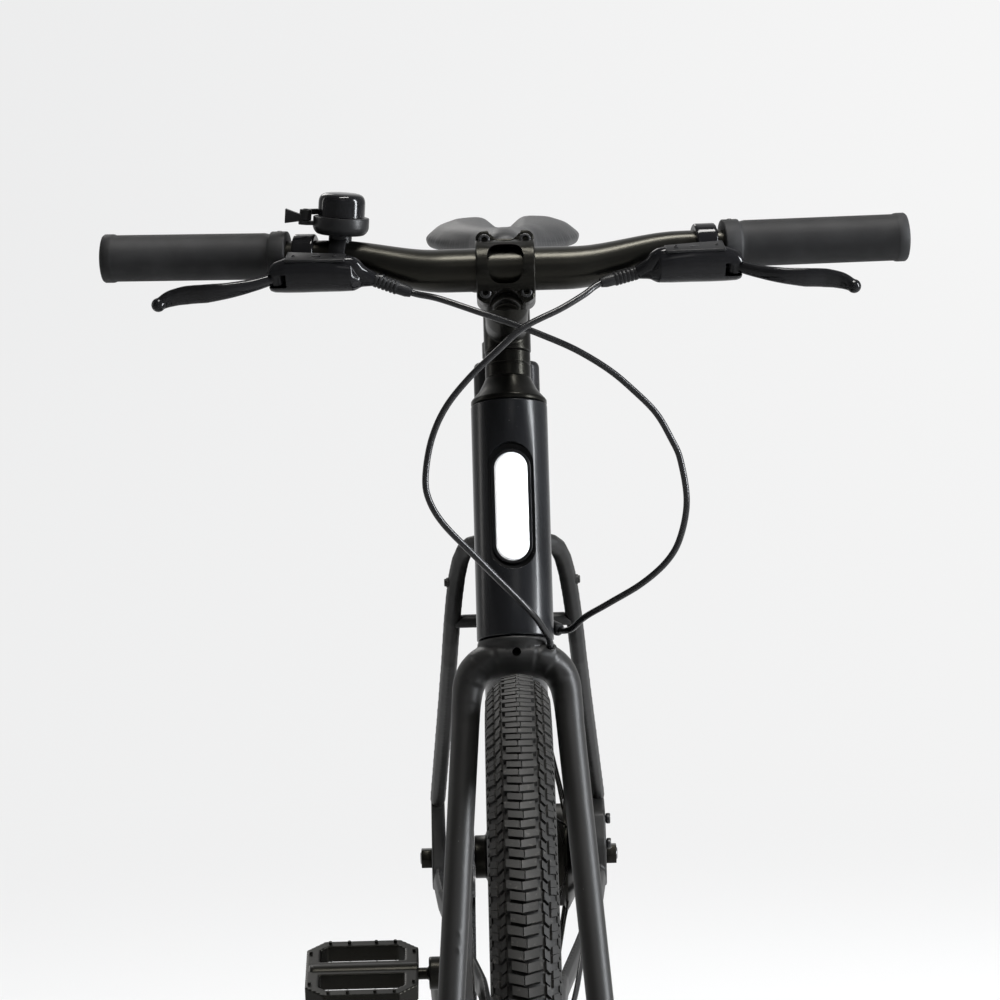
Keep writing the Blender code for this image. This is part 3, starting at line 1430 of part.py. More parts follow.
# Front brake: the caliper on the left leg, and its hose from the lever to the crown
def front_caliper():
    lean = Matrix.Rotation(-FRONT_CALIPER_ANGLE, 4, "X")
    block = rounded_box(
        (0.0166, 0.042, 0.044), (FRONT_DISC_PLANE - 0.0017, 0, 0.0740), 0.0040,
    )
    block = moved(block, lean)
    block = moved(block, Matrix.Translation((0, -FORK_OFFSET, 0)))
    low, high = FRONT_CALIPER_BOLTS
    inner_x = FRONT_DISC_PLANE + 0.0060
    width = FRONT_CALIPER_X + 0.0080 - inner_x
    face = FRONT_CALIPER_FOOT + GAP
    foot = rounded_box(
        (width, 0.0125, high - low + 0.018),
        (inner_x + width / 2, face + 0.00625, (low + high) / 2), 0.0018,
    )
    body = joined(block, foot)
    for height in (low, high):
        head = cylinder(
            0.0045, (FRONT_CALIPER_X, face + 0.010, height),
            (FRONT_CALIPER_X, face + 0.0165, height), 12,
        )
        body = joined(body, head)
    slot = side_disc(
        FRONT_DISC_RADIUS + 0.0020, FRONT_DISC_PLANE - 0.0014, FRONT_DISC_PLANE + 0.0014, 36,
        (-FORK_OFFSET, 0),
    )
    window = moved(rounded_box((0.0075, 0.020, 0.080), (FRONT_DISC_PLANE, 0, 0.0800), 0), lean)
    window = moved(window, Matrix.Translation((0, -FORK_OFFSET, 0)))
    return cut(body, slot, window)


def front_hose_route():
    start = lever_point(1, LEVER_BODY[0][:3])
    inner = lever_point(1, (LEVER_BODY[0][0] + 0.0057, *LEVER_BODY[0][1:3]))
    outer = lever_point(1, (LEVER_BODY[0][0] - 0.0090, *LEVER_BODY[0][1:3]))
    to_steering = STEERING.inverted() @ Matrix.Translation(BAR_CENTRE)
    tip, inward = CROWN_HOSE_PORT
    end = Vector(tip) + inward * (PORT_DEPTH - GAP)
    route = [to_steering @ point for point in (inner, start, outer)]
    return [*route, *FRONT_HOSE_ROUTE, tip - inward * 0.009, tip, end]


piece("front_brake_caliper", front_caliper(), "gloss_black", steering_axis)
hose("front_brake_hose", front_hose_route(), HOSE_RADIUS, HOSE_SPACING, steering_axis)


# Rear brake: the caliper on the left dropout, with one hose to the frame and one along the stay
def rear_caliper():
    turn = Matrix.Rotation(REAR_CALIPER_ANGLE, 4, "X")
    block = rounded_box((0.0190, 0.040, 0.040), (REAR_DISC_PLANE, 0, 0.0670), 0.0040)
    block = moved(block, turn)
    body = block
    face = REAR_HUB_WIDTH / 2 - GAP
    outside = REAR_HUB_WIDTH / 2 + DROPOUT_THICKNESS + GAP
    for place in REAR_CALIPER_BOLTS:
        boss = side_disc(0.0062, REAR_DISC_PLANE + 0.004, face, 10, place)
        shank = side_disc(0.0026, face - 0.002, outside + 0.001, 8, place)
        head = side_disc(0.0048, outside, outside + 0.0042, 10, place)
        body = joined(body, boss, shank, head)
    slot = side_disc(
        REAR_DISC_RADIUS + 0.0020, REAR_DISC_PLANE - 0.0014, REAR_DISC_PLANE + 0.0014, 32,
    )
    window = moved(rounded_box((0.0075, 0.018, 0.080), (REAR_DISC_PLANE, 0, 0.0720), 0), turn)
    body = cut(body, slot, window)
    tip, inward = REAR_CALIPER_PORT
    body = joined(body, port_sleeve(tip, inward, 0.0044, 0.014))
    return cut(body, port_bore(tip, inward, 0.006))


def rear_hose_route():
    start = BAR_CENTRE + lever_point(-1, LEVER_BODY[0][:3])
    inner = BAR_CENTRE + lever_point(-1, (LEVER_BODY[0][0] + 0.0057, *LEVER_BODY[0][1:3]))
    outer = BAR_CENTRE + lever_point(-1, (LEVER_BODY[0][0] - 0.0090, *LEVER_BODY[0][1:3]))
    tip, inward = HEAD_HOSE_PORT
    end = Vector(tip) + inward * (PORT_DEPTH - GAP)
    return [inner, start, outer, *REAR_HOSE_ROUTE, tip - inward * 0.009, tip, end]


def stay_hose_route():
    tip, inward = STAY_HOSE_PORT
    start = Vector(tip) + inward * (PORT_DEPTH - GAP)
    far_tip, far_inward = REAR_CALIPER_PORT
    far_tip = REAR_AXLE + Vector(far_tip)
    end = far_tip + far_inward * (0.006 - GAP)
    middle = [BOTTOM_BRACKET + Vector(point) for point in STAY_HOSE_ROUTE]
    near = [start, tip, tip - inward * 0.009]
    return [*near, *middle, far_tip - far_inward * 0.009, far_tip, end]


piece("rear_brake_caliper", rear_caliper(), "gloss_black", rear_wheel_axis)
hose("rear_brake_hose", rear_hose_route(), HOSE_RADIUS, HOSE_SPACING, None)
hose("rear_hose_stay", stay_hose_route(), HOSE_RADIUS, HOSE_SPACING, None)


# Wheels
def tyre():
    """A tyre with its beads inside the rim's flanges. The profile runs round the wall."""
    seat = BEAD_SEAT_RADIUS - 0.0010
    top = WHEEL_RADIUS
    half = TYRE_WIDTH / 2
    bead = RIM_WIDTH / 2 - RIM_WALL - GAP
    flange = BEAD_SEAT_RADIUS + RIM_FLANGE_HEIGHT
    outside = [
        (seat, bead), (flange + 0.0008, bead), (flange + 0.0205, half),
        (top - 0.0062, half * 0.64), (top, half * 0.14),
    ]
    inside = [(top - 0.0050, 0.0), (seat, bead - TYRE_WALL)]
    across = [(radius, -x) for radius, x in reversed(outside)]
    back = [(seat, TYRE_WALL - bead)]
    return wheel_ring(outside + across + back + inside, WHEEL_SIDES, ring=True)


def rim():
    flange = BEAD_SEAT_RADIUS + RIM_FLANGE_HEIGHT
    well = BEAD_SEAT_RADIUS - 0.0016
    foot = BEAD_SEAT_RADIUS - RIM_DEPTH
    half = RIM_WIDTH / 2
    inner = half - RIM_WALL
    profile = [
        (flange, -half), (flange, -inner), (well, -inner), (well, inner), (flange, inner),
        (flange, half), (foot, 0.0080), (foot, -0.0080),
    ]
    return wheel_ring(profile, WHEEL_SIDES, ring=True)


def spokes(left_flange, right_flange, left_radius, right_radius):
    """Thirty-two spokes, crossed once, with the pairs on either face of each flange."""
    result = []
    foot = BEAD_SEAT_RADIUS - RIM_DEPTH - GAP
    for index in range(SPOKE_COUNT):
        on_left = index % 2 == 0
        rank = index // 2
        lead = rank % 2 == 0
        flange_x = left_flange if on_left else right_flange
        flange_radius = (left_radius if on_left else right_radius) - 0.003
        sign = 1 if lead else -1
        hub_angle = 2 * pi * index / SPOKE_COUNT
        rim_angle = hub_angle + sign * 2 * (2 * pi / SPOKE_COUNT)
        side = 1 if flange_x > 0 else -1
        x_hub = flange_x + sign * 0.0014
        start = Vector((x_hub, flange_radius * cos(hub_angle), flange_radius * sin(hub_angle)))
        end = Vector((side * 0.0030, foot * cos(rim_angle), foot * sin(rim_angle)))
        reach = end - start
        reach.normalize()
        result.append(sweep([start, end], [SPOKE_RADIUS] * 2, 3))
    return together(result)


def front_hub():
    end = FRONT_HUB_WIDTH / 2 - GAP
    disc = FRONT_DISC_PLANE - DISC_THICKNESS / 2 - GAP
    bore = FRONT_AXLE_RADIUS + RUNNING_CLEARANCE
    body = wheel_ring([
        (bore, -end), (0.0100, -end), (HUB_RADIUS, -0.0400),
        (HUB_FLANGE_RADIUS, -FRONT_FLANGES[1] - 0.0016), (HUB_FLANGE_RADIUS, -FRONT_FLANGES[1] + 0.0016),
        (HUB_RADIUS, -0.0300), (HUB_RADIUS, 0.0225),
        (HUB_FLANGE_RADIUS, FRONT_FLANGES[0] - 0.0016), (HUB_FLANGE_RADIUS, FRONT_FLANGES[0] + 0.0016),
        (0.0195, disc), (DISC_BORE - 0.0009, disc), (DISC_BORE - 0.0009, disc + 0.0035),
        (0.0105, end), (bore, end),
    ], 12, ring=True)
    wires = spokes(FRONT_FLANGES[0], -FRONT_FLANGES[1], HUB_FLANGE_RADIUS, HUB_FLANGE_RADIUS)
    return joined(body, wires)


def motor_hub():
    low, high = MOTOR_SPAN
    bore = REAR_AXLE_RADIUS + RUNNING_CLEARANCE
    disc = REAR_DISC_PLANE - DISC_THICKNESS / 2 - GAP
    flange = MOTOR_FLANGE_RADIUS
    body = wheel_ring([
        (bore, MOTOR_NECK_END), (MOTOR_NECK_RADIUS, MOTOR_NECK_END), (MOTOR_NECK_RADIUS, -0.0310),
        (0.0420, low - 0.0030), (flange, low), (flange, low + 0.0032), (MOTOR_RADIUS, low + 0.0040),
        (MOTOR_RADIUS, high - 0.0100), (flange, high - 0.0090), (flange, high - 0.0058),
        (0.0390, high + 0.0010), (0.0205, disc), (DISC_BORE - 0.0009, disc),
        (DISC_BORE - 0.0009, disc + 0.0030), (0.0100, MOTOR_BOSS_END), (bore, MOTOR_BOSS_END),
    ], 18, ring=True)
    return joined(body, spokes(high - 0.0074, low + 0.0016, flange, flange))


def brake_disc(radius, plane, arms):
    """A disc with open windows between the arms that carry its track."""
    inner = radius - DISC_TRACK
    hub = DISC_BORE + 0.0055
    loops = [circle(radius, 28), circle(DISC_BORE, 14)]
    for index in range(arms):
        start = 2 * pi * index / arms
        wide = 2 * pi / arms
        window = []
        for share in (0.10, 0.37, 0.63, 0.90):
            window.append((inner, start + wide * share))
        for share in (0.72, 0.28):
            window.append((hub, start + wide * (share - 0.25)))
        loops.append([(r * cos(angle), r * sin(angle)) for r, angle in window])
    half = DISC_THICKNESS / 2
    return side_plate(loops, plane - half, plane + half)


piece("front_tyre", tyre(), "tyre_rubber", front_wheel_axis)
piece("front_rim", rim(), "black_anodised", front_wheel_axis)
piece("front_hub", front_hub(), "black_anodised", front_wheel_axis)
front_disc = brake_disc(FRONT_DISC_RADIUS, FRONT_DISC_PLANE, 6)
piece("front_rotor", front_disc, "disc_steel", front_wheel_axis)
piece("rear_tyre", tyre(), "tyre_rubber", rear_wheel_axis)
piece("rear_rim", rim(), "black_anodised", rear_wheel_axis)
piece("motor_hub", motor_hub(), "black_anodised", rear_wheel_axis)
piece("rear_rotor", brake_disc(REAR_DISC_RADIUS, REAR_DISC_PLANE, 5), "disc_steel", rear_wheel_axis)


# Belt drive. The belt's path is two arcs and two straight runs, and its teeth fill the gaps
# of the chain ring and of the sprocket.
BELT_LEAD = asin((RING_RADIUS - SPROCKET_RADIUS) / CHAIN_STAY_LENGTH)
BELT_RUN = CHAIN_STAY_LENGTH * cos(BELT_LEAD)
BELT_SMALL_ARC = SPROCKET_RADIUS * (pi - 2 * BELT_LEAD)
BELT_LINE_ANGLE = atan2(
    REAR_AXLE.z - BOTTOM_BRACKET.z, REAR_AXLE.y - BOTTOM_BRACKET.y,
)


def belt_point(distance, offset):
    """A point beside the belt's pitch line, at a distance along it from the top of the ring."""
    distance %= BELT_TEETH * BELT_PITCH
    if distance < BELT_RUN:
        angle = pi / 2 - BELT_LEAD
        centre = Vector((0, 0))
        radius = RING_RADIUS
        along = distance
    elif distance < BELT_RUN + BELT_SMALL_ARC:
        angle = pi / 2 - BELT_LEAD - (distance - BELT_RUN) / SPROCKET_RADIUS
        centre = Vector((CHAIN_STAY_LENGTH, 0))
        radius = SPROCKET_RADIUS
        along = 0.0
    elif distance < 2 * BELT_RUN + BELT_SMALL_ARC:
        angle = BELT_LEAD - pi / 2
        centre = Vector((CHAIN_STAY_LENGTH, 0))
        radius = SPROCKET_RADIUS
        along = distance - BELT_RUN - BELT_SMALL_ARC
    else:
        passed = distance - 2 * BELT_RUN - BELT_SMALL_ARC
        angle = BELT_LEAD - pi / 2 - passed / RING_RADIUS
        centre = Vector((0, 0))
        radius = RING_RADIUS
        along = 0.0
    outside = Vector((cos(angle), sin(angle)))
    ahead = Vector((sin(angle), -cos(angle)))
    point = centre + outside * (radius + offset) + ahead * along
    turn = Matrix.Rotation(BELT_LINE_ANGLE, 2)
    return tuple(turn @ point)


def drive_belt():
    """The belt in cells of one pitch: its back, one tooth, and the land up to the next tooth."""
    mesh = bmesh.new()
    root, tip = BELT_TOOTH_ROOT / 2, BELT_TOOTH_TIP / 2
    depth = BELT_LAND + BELT_TOOTH_DEPTH
    cells = []
    for tooth in range(BELT_TEETH):
        middle = tooth * BELT_PITCH
        outline = [belt_point(middle - root, BELT_BACK)]
        for reach, offset in ((-root, -BELT_LAND), (-tip, -depth), (tip, -depth), (root, -BELT_LAND)):
            outline.append(belt_point(middle + reach, offset))
        cells.append([
            [mesh.verts.new((x, y, z)) for y, z in outline]
            for x in (BELT_LINE - BELT_WIDTH / 2, BELT_LINE + BELT_WIDTH / 2)
        ])
    for here, after in zip(cells, cells[1:] + cells[:1]):
        for near, far in zip(here, after):
            mesh.faces.new((near[0], far[0], far[1], near[4], near[3], near[2], near[1]))
        chains = [(here, 0, after, 0), (here, 1, here, 2), (here, 2, here, 3)]
        chains += [(here, 3, here, 4), (here, 4, after, 1)]
        for first, i, second, j in chains:
            mesh.faces.new((first[0][i], first[1][i], second[1][j], second[0][j]))
    return mesh


def toothed_outline(teeth, radius, first, extra=0.0):
    """A sprocket's outline: each gap takes one belt tooth, with a little more at its mouth."""
    points = []
    for tooth in range(teeth):
        middle = first - 2 * pi * tooth / teeth
        land = radius - BELT_LAND - TOOTH_CLEARANCE
        floor = land - BELT_TOOTH_DEPTH
        mouth = BELT_TOOTH_ROOT / 2 + TOOTH_CLEARANCE + extra
        bottom = BELT_TOOTH_TIP / 2 + TOOTH_CLEARANCE
        for reach, size in ((-mouth, land), (-bottom, floor), (bottom, floor), (mouth, land)):
            angle = middle - reach / radius
            points.append((size * cos(angle), size * sin(angle)))
    return points


def belt_ring():
    first = BELT_LINE_ANGLE + pi / 2 - BELT_LEAD
    loops = [toothed_outline(RING_TEETH, RING_RADIUS, first)]
    loops.append(circle(SPINDLE_RADIUS + GAP, 16))
    for index in range(RING_ARMS):
        start = 2 * pi * index / RING_ARMS + CRANK_ANGLE
        wide = 2 * pi / RING_ARMS
        window = [(RING_RADIUS - 0.0150, start + wide * share) for share in (0.14, 0.32, 0.5, 0.68, 0.86)]
        window += [(0.0340, start + wide * share) for share in (0.72, 0.28)]
        loops.append([(r * cos(angle), r * sin(angle)) for r, angle in window])
    half = BELT_WIDTH / 2 - 0.0003
    body = side_plate(loops, BELT_LINE - half, BELT_LINE + half)
    boss = wheel_ring([
        (SPINDLE_RADIUS + GAP, -CRANK_FACE + GAP), (0.0210, -CRANK_FACE + GAP),
        (0.0240, BELT_LINE - half + 0.001), (SPINDLE_RADIUS + GAP, BELT_LINE - half + 0.001),
    ], 16, ring=True)
    return joined(body, boss)


def rear_sprocket():
    passed = ceil((BELT_RUN + 0.004) / BELT_PITCH) * BELT_PITCH - BELT_RUN
    first = BELT_LINE_ANGLE + pi / 2 - BELT_LEAD - passed / SPROCKET_RADIUS
    bore = REAR_AXLE_RADIUS + RUNNING_CLEARANCE
    loops = [toothed_outline(SPROCKET_TEETH, SPROCKET_RADIUS, first, 0.0005), circle(bore, 14)]
    for index in range(5):
        loops.append(circle(0.0058, 6, (
            0.0225 * cos(2 * pi * index / 5), 0.0225 * sin(2 * pi * index / 5),
        )))
    half = BELT_WIDTH / 2 + 0.0003
    body = side_plate(loops, BELT_LINE - half, BELT_LINE + half)
    boss = wheel_ring([
        (bore, -SPROCKET_BOSS_END), (0.0125, -SPROCKET_BOSS_END), (0.0145, BELT_LINE - half + 0.001),
        (bore, BELT_LINE - half + 0.001),
    ], 14, ring=True)
    return joined(body, boss)


piece("drive_belt", drive_belt(), "belt_rubber", crank_axis)
piece("belt_ring", belt_ring(), "black_anodised", crank_axis)
piece("rear_sprocket", rear_sprocket(), "steel", rear_wheel_axis)


# Cranks and pedals
def crank_arm(side):
    """An arm drawn along its length, from the spindle to the pedal, on the bicycle's left."""
    inner = CRANK_FACE
    flare = CRANK_FLARE
    boss = side_disc(CRANK_BOSS_RADIUS, inner, inner + 0.0160, 18)
    eye = side_disc(CRANK_TIP_RADIUS, inner + flare, inner + flare + 0.0122, 14, (CRANK_LENGTH, 0))
    sections = []
    for share in (0.02, 0.35, 0.70, 0.98):
        reach = CRANK_LENGTH * share
        low = inner + flare * smooth_step(0.05, 0.95, share) + 0.0004
        thick = mixed(0.0150, 0.0114, share)
        half = mixed(0.0170, 0.0118, smooth_step(0.0, 0.7, share))
        edge = 0.0035
        outline = [
            (low, -half + edge), (low + edge, -half), (low + thick - edge, -half),
            (low + thick, -half + edge), (low + thick, half - edge), (low + thick - edge, half),
            (low + edge, half), (low, half - edge),
        ]
        sections.append([(x, reach, z) for x, z in outline])
    body = joined(loft(sections), boss, eye)
    spindle_end = inner + 0.0150
    pedal_face = inner + flare + 0.0122
    tip = PEDAL_SPAN[1] - 0.010
    pin = cylinder(
        PEDAL_SPINDLE_RADIUS, (pedal_face - 0.004, CRANK_LENGTH, 0), (tip, CRANK_LENGTH, 0), 12,
    )
    body = joined(body, pin)
    if side > 0:
        bore = side_disc(SPINDLE_RADIUS + GAP, inner - 0.01, spindle_end + 0.01, 16)
        body = cut(body, bore)
    else:
        spindle = side_disc(SPINDLE_RADIUS, -spindle_end, inner + 0.004, 16)
        body = joined(body, spindle)
        body = moved(body, Matrix.Scale(-1, 4, (1, 0, 0)))
    angle = -CRANK_ANGLE if side > 0 else pi - CRANK_ANGLE
    return moved(body, Matrix.Rotation(angle, 4, "X"))


def pedal(side):
    low, high = PEDAL_SPAN
    half = PEDAL_LENGTH / 2
    corner = 0.0150
    outline = [
        (low, -half + corner), (low + corner, -half), (high - corner, -half), (high, -half + corner),
        (high, half - corner), (high - corner, half), (low + corner, half), (low, half - corner),
    ]
    loops = [outline]
    for sign in (-1, 1):
        near, far = 0.0115 * sign, (half - 0.0100) * sign
        loops.append([
            (low + 0.0110, near), (high - 0.0110, near), (high - 0.0110, far - 0.006 * sign),
            (high - 0.0170, far), (low + 0.0170, far), (low + 0.0110, far - 0.006 * sign),
        ])
    body = plate(loops, PEDAL_THICKNESS)
    body = moved(body, Matrix.Translation((0, 0, -PEDAL_THICKNESS / 2)))
    barrel = side_disc(PEDAL_BARREL_RADIUS, low, high - 0.004, 14)
    body = joined(body, barrel)
    depth = high - 0.010 + GAP + 0.0002
    body = cut(body, side_disc(PEDAL_SPINDLE_RADIUS + GAP, low - 0.01, depth, 12))
    if side < 0:
        body = moved(body, Matrix.Scale(-1, 4, (1, 0, 0)))
    return moved(body, Matrix.Rotation(PEDAL_TILT, 4, "X"))


for side, label in ((1, "left"), (-1, "right")):
    swing = side * CRANK_LENGTH
    place = BOTTOM_BRACKET + Vector((0, swing * cos(CRANK_ANGLE), -swing * sin(CRANK_ANGLE)))
    pedal_axis = mount("pedal_axis_" + label, Matrix.Translation(place), crank_axis)
    piece("crank_arm_" + label, crank_arm(side), "black_anodised", crank_axis)
    piece("pedal_" + label, pedal(side), "black_anodised", pedal_axis)


# Seat clamp, seat post and saddle
def seat_clamp():
    base = SEAT_TUBE_LENGTH - SEAT_CLAMP_HEIGHT
    inner = SEAT_TUBE_RADIUS + GAP
    band = moved(ring_tube(inner, SEAT_CLAMP_RADIUS, SEAT_CLAMP_HEIGHT, 18), Matrix.Translation((0, 0, base)))
    middle = base + SEAT_CLAMP_HEIGHT / 2
    ears = rounded_box((0.0160, 0.0130, SEAT_CLAMP_HEIGHT - 0.001), (0, -0.0255, middle), 0.0015)
    hollow = cylinder(inner, (0, 0, base - 0.01), (0, 0, base + 0.03), 18)
    slot = rounded_box((0.0022, 0.020, 0.05), (0, -0.0260, middle), 0)
    body = cut(joined(band, ears), hollow, slot)
    bolt = cylinder(0.0026, (-0.0060, -0.0265, middle), (0.0060, -0.0265, middle), 8)
    heads = [cylinder(0.0042, (s * 0.0075, -0.0265, middle), (s * 0.0112, -0.0265, middle), 8)
             for s in (-1, 1)]
    return joined(body, bolt, *heads)


RAIL_CENTRE = SEAT @ Vector((0, 0, SEAT_TUBE_LENGTH + SEATPOST_EXPOSED + 0.018))
seat_slide = mount("seat_slide", SEAT, seat_tube_foot)
saddle_centre = mount("saddle_centre", Matrix.Translation(RAIL_CENTRE), seat_slide)


def rail_path():
    half = RAIL_SPACING / 2
    route = [
        (half + 0.003, 0.096, 0.031), (half + 0.0015, 0.080, 0.0200), (half, 0.056, 0.0045),
        (half, 0.036, 0.0), (half, 0.0, 0.0), (half, -0.036, 0.0), (half - 0.002, -0.062, 0.0060),
        (half - 0.0075, -0.092, 0.0220), (half - 0.0115, -0.108, 0.0330), (0.0070, -0.1185, 0.0385),
    ]
    back = [(-x, y, z) for x, y, z in reversed(route)]
    return smooth_path([Vector(point) for point in route + back], 1)


def rail_wire(radius):
    """The rails at their own radius, or a little longer and thicker as their sockets."""
    path = rail_path()
    if radius > RAIL_RADIUS:
        path[0] = path[0] + (path[0] - path[1]).normalized() * 0.0008
        path[-1] = path[-1] + (path[-1] - path[-2]).normalized() * 0.0008
    return sweep(path, [radius] * len(path), 7, Vector((0, 0, 1)))


def seatpost():
    foot = SEAT_TUBE_LENGTH - SEATPOST_INSERTION
    top = SEAT_TUBE_LENGTH + SEATPOST_EXPOSED + 0.012
    post = cylinder(SEATPOST_RADIUS, (0, 0, foot), (0, 0, top), 20)
    head = rounded_box((RAIL_SPACING + 0.016, 0.038, 0.0165), (0, 0, 0), 0.0030)
    to_seat = SEAT.inverted() @ Matrix.Translation(RAIL_CENTRE)
    body = joined(post, moved(head, to_seat))
    for sign in (-1, 1):
        bolt = cylinder(0.0036, (0, sign * 0.0125, 0.004), (0, sign * 0.0125, 0.0118), 10)
        body = joined(body, moved(bolt, to_seat))
    return cut(body, moved(rail_wire(RAIL_RADIUS + GAP), to_seat))


def saddle():
    sections = []
    for y, half, top, floor in SADDLE_SECTIONS:
        dip = SADDLE_CHANNEL * smooth_step(-0.115, -0.050, y) * (1 - smooth_step(0.085, 0.118, y))
        deep = top - floor
        right = [
            (0.30, top), (0.62, top - 0.05 * deep), (0.87, top - 0.24 * deep),
            (1.0, top - 0.58 * deep), (0.93, floor + 0.08 * deep), (0.55, floor),
        ]
        points = [(0.0, y, top - dip)] + [(half * share, y, z) for share, z in right]
        points += [(-half * share, y, z) for share, z in reversed(right)]
        sections.append(points)
    return cut(loft(sections), rail_wire(RAIL_RADIUS + GAP))


piece("seat_clamp", seat_clamp(), "black_anodised", seat_tube_foot)
piece("seatpost", seatpost(), "black_anodised", seat_slide)
piece("saddle", saddle(), "saddle_cover", saddle_centre)
piece("saddle_rails", rail_wire(RAIL_RADIUS), "steel", saddle_centre)


# Battery, the cradle that holds it, its lock and the rear light in its back
def battery_section(height, shrink, chamfer):
    """A rounded rectangle across the battery at one height along the seat tube."""
    half = BATTERY_WIDTH / 2 - shrink
    near = BATTERY_FACE + shrink
    far = BATTERY_FACE + BATTERY_DEPTH - shrink - chamfer
    radius = 0.0105 - shrink / 2
    points = []
    for cx, cy, start in (
        (half - radius, far - radius, 0.0), (radius - half, far - radius, pi / 2),
        (radius - half, near + radius, pi), (half - radius, near + radius, 3 * pi / 2),
    ):
        for step in range(4):
            angle = start + pi / 2 * step / 3
            points.append((cx + radius * cos(angle), cy + radius * sin(angle), height))
    return points


def battery_case():
    low, high = BATTERY_SPAN
    return loft([
        battery_section(low, 0.0010, 0.0110), battery_section(low + 0.0160, 0, 0),
        battery_section(high - 0.0045, 0, 0), battery_section(high - 0.0012, 0.0016, 0),
        battery_section(high, 0.0050, 0),
    ])


def battery_cradle():
    low, high = BATTERY_SPAN
    front = SEAT_TUBE_RADIUS + GAP
    back = BATTERY_FACE - GAP
    rail_low, rail_high = low - 0.004, high - 0.014
    rail = rounded_box(
        (0.030, back - front, rail_high - rail_low),
        (0, (front + back) / 2, (rail_low + rail_high) / 2), 0.0008,
    )
    foot_back = BATTERY_FACE + BATTERY_DEPTH - 0.016
    foot = rounded_box(
        (0.052, foot_back - front, CRADLE_FOOT_HEIGHT),
        (0, (front + foot_back) / 2, low - GAP - CRADLE_FOOT_HEIGHT / 2), 0.0030,
    )
    lock_y, lock_z = BATTERY_LOCK_PLACE
    housing = side_disc(0.0095, 0.0060, 0.0285, 18, (lock_y, lock_z))
    body = joined(rail, foot, housing)
    return cut(body, side_disc(0.0073, 0.0140, 0.040, 18, (lock_y, lock_z)))


def battery_lock():
    """The lock's barrel, drawn about its own axis, with the slot for its key."""
    barrel = side_disc(0.0070, 0.0143, 0.0300, 18)
    return cut(barrel, rounded_box((0.008, 0.0085, 0.0016), (0.0300, 0, 0), 0))


def rear_light_lens():
    """A pill-shaped lens that stands on the battery's back."""
    back = BATTERY_FACE + BATTERY_DEPTH + GAP
    sections = []
    for height, shrink in ((0.0, 0.0), (0.0026, 0.0), (0.0040, 0.0016)):
        outline = pill(0.0160 - 2 * shrink, 0.052 - 2 * shrink, 6)
        sections.append([(x, y, height) for x, y in outline])
    turn = Matrix.Rotation(pi / 2, 4, "X") @ Matrix.Rotation(pi, 4, "Y")
    return moved(loft(sections), Matrix.Translation((0, back, BATTERY_LIGHT_HEIGHT)) @ turn)


battery_slide = mount("battery_slide", SEAT, seat_tube_foot)
lock_place = SEAT @ Matrix.Translation((0, *BATTERY_LOCK_PLACE))
battery_lock_axis = mount("battery_lock_axis", lock_place, seat_tube_foot)
piece("battery_case", battery_case(), "black_plastic", battery_slide)
piece("battery_cradle", battery_cradle(), "black_plastic", seat_tube_foot)
piece("battery_lock", battery_lock(), "steel", battery_lock_axis)
piece("rear_light_lens", rear_light_lens(), "red_lens", battery_slide)
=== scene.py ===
"""The looks of an electric bicycle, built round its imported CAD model."""
from math import atan2, cos, pi, radians, sin, sqrt, tan

import bmesh
import bpy
from mathutils import Matrix, Vector


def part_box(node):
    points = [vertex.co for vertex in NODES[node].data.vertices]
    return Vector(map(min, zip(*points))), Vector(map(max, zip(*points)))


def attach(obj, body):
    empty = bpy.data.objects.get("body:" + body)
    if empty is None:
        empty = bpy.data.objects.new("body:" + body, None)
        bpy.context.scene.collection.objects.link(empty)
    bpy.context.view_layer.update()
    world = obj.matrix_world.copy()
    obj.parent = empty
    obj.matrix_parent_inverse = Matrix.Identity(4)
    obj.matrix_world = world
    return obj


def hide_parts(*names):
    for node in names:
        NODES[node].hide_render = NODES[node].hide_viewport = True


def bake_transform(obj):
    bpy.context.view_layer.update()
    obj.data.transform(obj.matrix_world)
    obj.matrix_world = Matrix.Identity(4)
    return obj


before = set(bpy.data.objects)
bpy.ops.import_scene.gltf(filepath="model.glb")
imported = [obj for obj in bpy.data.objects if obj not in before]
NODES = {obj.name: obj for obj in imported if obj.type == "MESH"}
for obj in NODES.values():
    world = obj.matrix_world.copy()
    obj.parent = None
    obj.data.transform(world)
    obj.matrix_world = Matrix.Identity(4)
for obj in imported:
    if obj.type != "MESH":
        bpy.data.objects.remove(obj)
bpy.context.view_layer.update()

# Places and sizes that the pieces share, in metres
HEAD_ANGLE = radians(70.5)
SEAT_ANGLE = radians(73.5)
FRONT_AXLE = Vector((0, -0.5245, 0.3448))
REAR_AXLE = Vector((0, 0.5245, 0.3448))
BOTTOM_BRACKET = Vector((0, 0.0896, 0.2750))
FORK_OFFSET = 0.0447
LEG_LENGTH = 0.345
CROWN = 0.382
HEAD_TOP = 0.560
LIGHT_HEIGHT = 0.479
SPACER_BASE = 0.581
STEM_BASE = 0.6005
STEM_TOP = 0.6405
BAR_HEIGHT = 0.6425
BAR_REACH = 0.088
BAR_BORE = 0.0161
BAR_SWEEP = radians(9)
LEVER_TILT = radians(20)
CRANK_LENGTH = 0.170
CRANK_ANGLE = radians(34)
SEAT_TUBE_TOP = 0.600
GAP = 0.0003


def leaned(origin, angle):
    """A frame whose Z leans back by an angle, with X to the left and Y to the rear."""
    back = Vector((0, sin(angle), -cos(angle)))
    up = Vector((0, cos(angle), sin(angle)))
    turn = Matrix((Vector((1, 0, 0)), back, up)).transposed().to_4x4()
    return Matrix.Translation(origin) @ turn


def shifted(x, y, z):
    return Matrix.Translation((x, y, z))


def turned(angle, axis):
    return Matrix.Rotation(angle, 4, axis)


